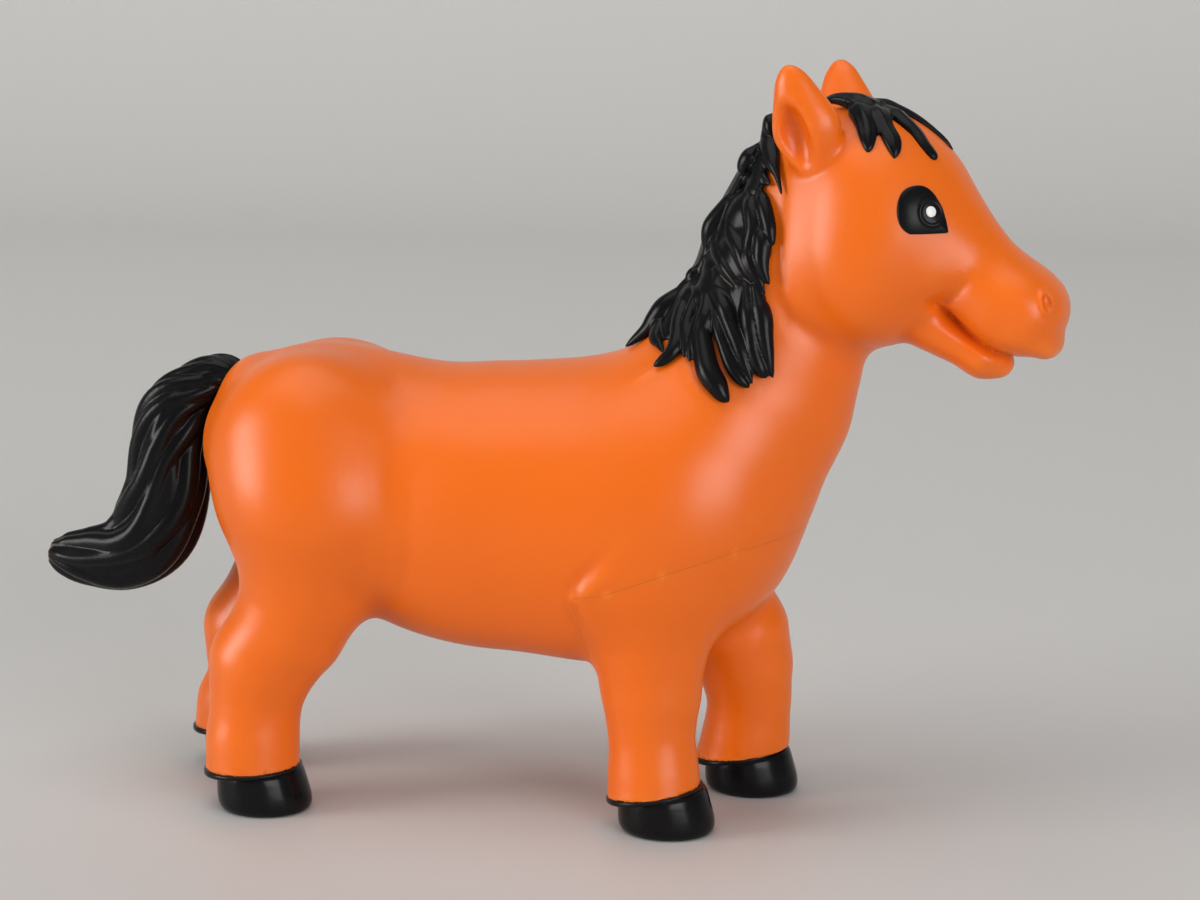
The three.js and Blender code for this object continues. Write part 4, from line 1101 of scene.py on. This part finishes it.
MANE_LEFT = [
    [(27, 109.5), (27, 106), (28.5, 102.5)],
    [(25.2, 107), (25.6, 102.5), (27.4, 98.5)],
    [(23.8, 104), (24, 99.5), (25.4, 95.5)],
    [(22.4, 101), (22.2, 96), (24.2, 91)],
    [(20.6, 97.5), (20.8, 93), (22.4, 89)],
    [(19, 94.5), (19.4, 90), (21.6, 84.6)],
    [(17.4, 91), (18, 86.5), (19.6, 82.4)],
    [(15.8, 88), (16.4, 83.5), (18.2, 78)],
    [(13.8, 85.5), (14.4, 81.5), (15.4, 77.4)],
    [(11.6, 83), (12, 79.5), (12, 75.6)],
    [(9.6, 80.6), (9.6, 78), (8.6, 75.6)],
]
MANE_UNDER = [
    [(27, -4, 108.5, 0.8), (26, -4, 106.5, 1.8), (25.5, -5, 103.5, 2.2), (24.5, -5.5, 101, 2.4)],
    [(24.5, -4, 102.5, 2.0), (22.5, -5, 98.5, 3.2), (22.8, -6.5, 94.5, 4.0), (23.5, -8.5, 91, 3.8),
     (25.5, -10.5, 88, 2.6)],
    [(18, -3.5, 92, 1.6), (18.5, -5.5, 88.5, 2.8), (19, -8, 85, 3.2), (19.5, -10, 81.5, 2.0),
     (19.8, -11, 80, 0.8)],
    [(16, -3.5, 88, 1.8), (13.5, -4, 84, 2.4), (12.5, -6, 81, 2.2), (13, -8.5, 78.5, 1.2)],
    [(23, -9.5, 89.5, 2.6), (25, -11.3, 86, 2.8), (26.2, -12.5, 82, 2.6), (27.2, -13.2, 78, 2.0),
     (27.8, -13.4, 76, 1.0)],
    [(19.5, -7, 90, 2.4), (21.5, -9.5, 86.5, 2.8), (22.5, -11.5, 83, 2.2), (23.2, -12.5, 80.5, 1.0)],
    [(25.8, -6, 102.5, 1.4), (26.4, -8, 98.5, 2.0), (26.6, -9.2, 94.5, 2.2), (27, -10.5, 91, 1.6)],
    [(15, -4, 87, 1.4), (14.6, -5.5, 84.5, 2.0), (15, -7, 82.5, 2.0), (15.6, -8.5, 80.5, 1.2)],
    [(21.4, -9.8, 85, 1.6), (22.2, -11, 82.5, 2.0), (23, -11.8, 79.8, 2.0), (23.6, -12.4, 77.5, 1.2)],
]
MANE_VOXEL = 0.21
LOCK_STEPS = 36
LOCK_FLAT = 0.75
LOCK_STANDS_OFF = 2.4
LOCK_ROOT_SINKS = 0.9
LOCK_OUT = 1.2
LOCK_CLEAR = 2.5
LOCK_TIP_FROM = 0.88
LOCK_TIP = 0.125
CREST_LIFT = -0.5
UNDER_LIFT = -0.1
TIERS = [(MANE_TOP, 0.6, 5.5), (MANE_MIDDLE, 0.7, 2.8), (MANE_LOW, 0.3, 2.4)]
FAR_HALF_WIDTH = 2.2
FAR_LIFT = 0.3
FAR_TIP = 0.3


def beside(route, side):
    """Points of a side-view route brought just clear of the skin of one side of the figure."""
    route = np.array(route, np.float32)
    reach = np.arange(30, 0, -0.1, dtype=np.float32)
    grid = np.stack(np.broadcast_arrays(route[:, None, 0], side * reach, route[:, None, 1]), -1)
    inside = skin(grid.reshape(-1, 3)).reshape(grid.shape[:2]) < 0
    y = np.where(inside.any(1), reach[inside.argmax(1)] + LOCK_OUT, 0)
    return np.stack([route[:, 0], side * np.maximum(y, LOCK_CLEAR), route[:, 1]], 1)


def lock_line(route, side, half_width, lift, tip):
    """A lock's points, half widths and outward directions along a side-view route."""
    t = np.linspace(0, 1, LOCK_STEPS)
    laid = settle(beside(route, side), lift, rounds=6, most=1.5)
    points = settle(spline(laid, LOCK_STEPS), lift, rounds=3, most=1.0)
    taper = np.sqrt(np.maximum(1 - t**2.6 * (1 - tip * tip), 0))
    return points, half_width * np.minimum(1, 0.6 + 1.4 * t) * taper, unit(slope(points))


def free_lock(stations, lift, stands_off=LOCK_STANDS_OFF):
    """A lock through stations with half widths, pushed out of the skin but left where it stands off."""
    line = spline(stations, LOCK_STEPS)
    t = np.linspace(0, 1, LOCK_STEPS)
    low = lift - LOCK_ROOT_SINKS * np.maximum(1 - t / 0.2, 0)
    level = np.clip(skin(line[:, :3]), low, low + stands_off)
    points = settle(line[:, :3], level, rounds=5, most=1.0)
    tip = np.sqrt(np.clip(1 - (np.maximum(t - LOCK_TIP_FROM, 0) / LOCK_TIP) ** 2, 0.01, 1))
    taper = tip * np.minimum(1, 0.4 + 4 * t)
    return points, line[:, 3] * taper, unit(slope(points))


near_locks = []
for locks, lift, stands_off in TIERS:
    for lock in locks:
        lock = np.array(lock)
        stations = np.column_stack([beside(lock[:, :2], -1), lock[:, 2]])
        near_locks.append(free_lock(stations, lift, stands_off))
far_locks = [lock_line(route, 1, FAR_HALF_WIDTH, FAR_LIFT, FAR_TIP) for route in MANE_LEFT]
crest = [free_lock(CREST, CREST_LIFT)]
under_pads = [free_lock(stations, UNDER_LIFT) for stations in MANE_UNDER]
mane_mesh = fused([
    swept(near_locks, 32, 3, 0.05, LOCK_FLAT, HAIR_BLACK),
    swept(far_locks, 48, 5, 0.12, LOCK_FLAT, HAIR_BLACK),
    swept(crest, 40, 5, 0.04, 0.5, HAIR_BLACK),
    swept(under_pads, 40, 5, 0.02, 0.4, HAIR_BLACK),
], MANE_VOXEL)
add_piece(
    "mane_locks", mane_mesh, HAIR_BLACK, "horse", "black_hair", "mane", sharp=ALL_SMOOTH, ridges=(8, 0.3),
)

# Forelock: a fringe of short raised locks that starts behind the ears and falls over the brow.
# It is modelled on the head casting and painted with the mane.
FORELOCK = [
    [(34.8, -0.6, 115.4, 0.4), (37.6, -1.6, 115.9, 1.2), (40.2, -2, 115.6, 1.9), (42.4, -2.6, 115, 2.3),
     (44.6, -3.4, 113.9, 1.8)],
    [(40.6, -2.6, 115.2, 1.5), (42.5, -5, 114.1, 1.9), (44, -7.5, 112.4, 1.7), (44.8, -9.3, 110.7, 1.4),
     (45.2, -10.5, 109.2, 0.8), (45.3, -11.2, 108.4, 0.2)],
    [(43, -2.2, 115.2, 1.5), (45.4, -5.4, 113.6, 1.8), (47, -7.4, 111.9, 1.4), (48.4, -8.7, 110.1, 1.4),
     (49, -9.6, 108.7, 1.0), (49.2, -10.5, 107.5, 0.2)],
    [(44.4, -0.7, 115.2, 1.5), (47.1, -3, 113.7, 1.6), (49.5, -4.3, 112.5, 1.3), (51.2, -4.9, 111.1, 1.15),
     (52.6, -5.7, 109.5, 1.0), (53.9, -6, 108, 0.9), (54.6, -5.9, 107.2, 0.7)],
    [(42.5, -0.8, 115.8, 1.3), (45.6, -0.5, 115, 1.3), (48, -0.1, 113.9, 1.1), (50.3, 0.3, 112.5, 0.9),
     (52.4, 0.7, 110.9, 0.7), (54, 1, 109.2, 0.6), (55.4, 1, 107.8, 0.2)],
    [(36.5, 0.8, 115.8, 0.7), (40, 1.6, 115.4, 1.5), (42.5, 4.5, 114, 1.8), (44, 8, 111.6, 1.5),
     (45, 10.2, 109.2, 0.5)],
    [(42.5, 2, 115.2, 1.2), (46.5, 4.6, 113, 1.3), (49.2, 6.6, 110.6, 1.1), (51, 7.2, 108.4, 0.5)],
]
FORELOCK_LIFT = 0.1
forelock_lines = []
for stations in FORELOCK:
    turned = from_head(np.array(stations)[:, :3])
    forelock_lines.append(free_lock(np.column_stack([turned, np.array(stations)[:, 3]]), FORELOCK_LIFT))
forelock_mesh = fused([swept(forelock_lines, 40, 6, 0.06, 0.7, HAIR_BLACK)], HAIR_VOXEL)
add_piece(
    "forelock_locks", forelock_mesh, HAIR_BLACK, "horse", "black_hair", "forelock",
    sharp=ALL_SMOOTH, ridges=(8, 0.3),
)

# Eyes: low domes on the head casting, painted gloss black, with a raised iris ring.
# Each outline is a rounded drop with a level lower lid.
EYE_AT = (53.9, 100.1)
EYE_CORNERS = [(-2.1, -3.65), (3.95, -3.55), (2.2, 2.2), (-0.6, 3.8), (-4.05, 0.3)]
EYE_BENDS = [(1.2, -3.7), (3.6, 0.2), (1.0, 3.9), (-3.6, 3.8), (-4.3, -2.7)]
EYE_DOME = 0.75
EYE_EDGE = 0.3
EYE_STEPS = 96
IRIS_AT = (1.2, -0.5)
IRIS_R = 1.95
IRIS_RISE = 0.16
IRIS_SOFT = 0.28
EYE_SHARP = 50


def eye_frame(side):
    """Middle, outward, upward and forward directions of an eye on the turned head."""
    reach = np.arange(20, 4, -0.05, dtype=np.float32)
    ray = np.stack(np.broadcast_arrays(np.float32(EYE_AT[0]), side * reach, np.float32(EYE_AT[1])), 1)
    ray = from_head(ray)
    middle = settle(ray[np.argmax(skin(ray) < 0)][None], rounds=4)
    out = slope(middle)[0]
    out /= np.linalg.norm(out)
    up = np.array([0, 0, 1]) - out * out[2]
    up /= np.linalg.norm(up)
    return middle[0], out, up, np.cross(up, out) * -side


def curve_to(start, control, end, count):
    """Points on a curve that leaves start towards control and arrives at end."""
    t = np.linspace(0, 1, count, endpoint=False)[:, None]
    a, b, c = (np.array(v) for v in (start, control, end))
    return (1 - t) ** 2 * a + 2 * t * (1 - t) * b + t**2 * c


def eye_outline():
    """The eye's edge as evenly spaced points, forward and up from its middle."""
    ends = EYE_CORNERS[1:] + EYE_CORNERS[:1]
    edge = np.concatenate([curve_to(a, b, c, 40) for a, b, c in zip(EYE_CORNERS, EYE_BENDS, ends)])
    edge = np.vstack([edge, edge[:1]])
    along = run_length(edge)
    want = np.linspace(0, along[-1], EYE_STEPS, endpoint=False)
    return np.stack([np.interp(want, along, edge[:, i]) for i in range(2)], 1)


def patch(name, side, outline, rings, height):
    """A low closed dome on the head: outline shrunk ring by ring, each point lifted by its height."""
    middle, out, up, ahead = eye_frame(side)
    heart = outline.mean(0)
    loops = []
    for share, drop in rings:
        flat = heart + (outline - heart) * share
        p = middle + flat[:, :1] * ahead + flat[:, 1:] * up
        p = settle(p, rounds=5)
        lift = height(flat, share) if drop is None else np.full(len(flat), drop)
        loops.append(p + lift[:, None] * out)
    return loft_mesh(name, loops)


def eye_height(flat, share):
    """Height of the eye over the skin: a rounded edge, a low dome and a raised iris ring."""
    dome = EYE_EDGE + (EYE_DOME - EYE_EDGE) * (1 - share**2) ** 0.5
    away = np.hypot(flat[:, 0] - IRIS_AT[0], flat[:, 1] - IRIS_AT[1])
    return dome + IRIS_RISE * np.exp(-(((away - IRIS_R) / IRIS_SOFT) ** 2))


EYE_RINGS = [(0.3, -0.9), (0.97, -0.9), (1.0, 0.0), (0.995, None), (0.98, None), (0.96, None)]
EYE_RINGS += [(share, None) for share in np.linspace(0.93, 0.02, 30)]
EYE_PAINT = black_paint("eye_black", 0.26, 0.2)
for side_name, side in (("right", -1), ("left", 1)):
    mesh = patch("eye_dome_" + side_name, side, eye_outline(), EYE_RINGS, eye_height)
    add_piece(
        "eye_dome_" + side_name, mesh, EYE_PAINT, "horse", "eye_black", "eye_" + side_name,
        sharp=EYE_SHARP, ridges=(6, 0.3),
    )

# Eye glints: a round dab of white paint on each eye, a little off its middle.
# The dab stands slightly proud, as thick paint does.
GLINT_AT = (1.05, -0.35)
GLINT_R = 0.82
GLINT_SIDES = 40
GLINT_OVER = 0.05
GLINT_DOME = 0.16
GLINT_WHITE = (0.86, 0.86, 0.83)
GLINT_CLOUD = 0.9


def glint_material():
    """White dab paint with a faint grey cloud."""
    material, tree, shader = new_material("glint_white")
    marks = node(tree, "ShaderNodeGroup", (-600, 0), SURFACE_MARKS, Cloud_Scale=900.0)
    tone = colour_mix(tree, (-300, 100), GLINT_WHITE, [GLINT_CLOUD * c for c in GLINT_WHITE])
    wire(tree, (marks, "Cloud", tone, "Factor"), (tone, "Result", shader, "Base Color"))
    set_inputs(shader, Roughness=0.35)
    return material


def glint_height(flat, share):
    """The dab's height over the skin: the eye's own height and a little dome."""
    return eye_height(flat, 0.5) + GLINT_OVER + GLINT_DOME * (1 - share**2)


around = 2 * pi * np.arange(GLINT_SIDES) / GLINT_SIDES
glint_edge = np.stack([GLINT_AT[0] + GLINT_R * np.cos(around), GLINT_AT[1] + GLINT_R * np.sin(around)], 1)
GLINT_RINGS = [(0.3, 0.2), (1.0, 0.2)]
GLINT_RINGS += [(share, None) for share in (1.0, 0.97, 0.9, 0.8, 0.6, 0.4, 0.2, 0.05)]
GLINT_PAINT = glint_material()
for side_name, side in (("right", -1), ("left", 1)):
    mesh = patch("glint_dab_" + side_name, side, glint_edge, GLINT_RINGS, glint_height)
    add_piece(
        "glint_dab_" + side_name, mesh, GLINT_PAINT, "horse", "eye_white", "eye_glint_" + side_name,
        sharp=EYE_SHARP,
    )

# Studio: a pale floor under the figure, soft lamps and the camera at the photograph's view.
# One lamp stands on the left, a wider one on the front right, and a soft one hangs overhead.
CAMERA_AT = (82.03, -406.75, 135.75)
CAMERA_TILT = radians(79.5)
CAMERA_YAW = radians(10)
CAMERA_LENS = 78
FLOOR_COLOUR = (0.60, 0.59, 0.57)
WORLD_COLOUR = (0.80, 0.81, 0.83)
WORLD_STRENGTH = 0.24
FLOOR_HALF = 12.0
FLOOR_BACK = 0.9
SWEEP_R = 0.5
SWEEP_TOP = 4.0
SWEEP_STEPS = 12
LAMP_AIM = (0, 0, 0.05)
LAMPS = [
    ("left", (-2.0, -0.95, 0.45), 1.0, 32.0, (1.0, 0.98, 0.95)),
    ("right", (1.4, -1.65, 0.3), 1.3, 36.0, (0.97, 0.97, 1.0)),
    ("top", (-0.3, -0.4, 2.2), 2.2, 25.0, (1.0, 1.0, 1.0)),
]


def lamp(name, at, size, watts, colour):
    """A square soft lamp at a place in metres, aimed at the figure."""
    light = bpy.data.lights.new(name, "AREA")
    light.size = size
    light.energy = watts
    light.color = colour
    stand = placed(name, light)
    stand.location = at
    way = np.array(LAMP_AIM) - np.array(at)
    stand.rotation_euler = (atan2(hypot(way[0], way[1]), -way[2]), 0, atan2(way[1], way[0]) - pi / 2)


pale_floor, _, floor_shader = new_material("pale_floor")
set_inputs(floor_shader, Base_Color=(*FLOOR_COLOUR, 1), Roughness=0.55)
floor_mesh = bpy.data.meshes.new("floor")
bends = [pi / 2 * i / SWEEP_STEPS for i in range(SWEEP_STEPS + 1)]
profile = [(-FLOOR_HALF, 0)] + [(FLOOR_BACK + SWEEP_R * sin(a), SWEEP_R * (1 - cos(a))) for a in bends]
profile.append((FLOOR_BACK + SWEEP_R, SWEEP_TOP))
corners = [(x, y, z) for y, z in profile for x in (-FLOOR_HALF, FLOOR_HALF)]
strips = [(2 * i, 2 * i + 1, 2 * i + 3, 2 * i + 2) for i in range(len(profile) - 1)]
floor_mesh.from_pydata(corners, [], strips)
floor_mesh.shade_smooth()
floor_mesh.materials.append(pale_floor)
floor = placed("floor", floor_mesh)

for given in LAMPS:
    lamp(*given)
world = bpy.data.worlds.new("studio")
world.use_nodes = True
set_inputs(world.node_tree.nodes["Background"], Color=(*WORLD_COLOUR, 1), Strength=WORLD_STRENGTH)
bpy.context.scene.world = world

lens = bpy.data.cameras.new("camera")
lens.lens = CAMERA_LENS
lens.sensor_width = 36
camera = placed("camera", lens)
camera.location = tuple(MM * c for c in CAMERA_AT)
camera.rotation_euler = (CAMERA_TILT, 0, CAMERA_YAW)
bpy.context.scene.camera = camera
bpy.context.scene.view_settings.view_transform = "Standard"
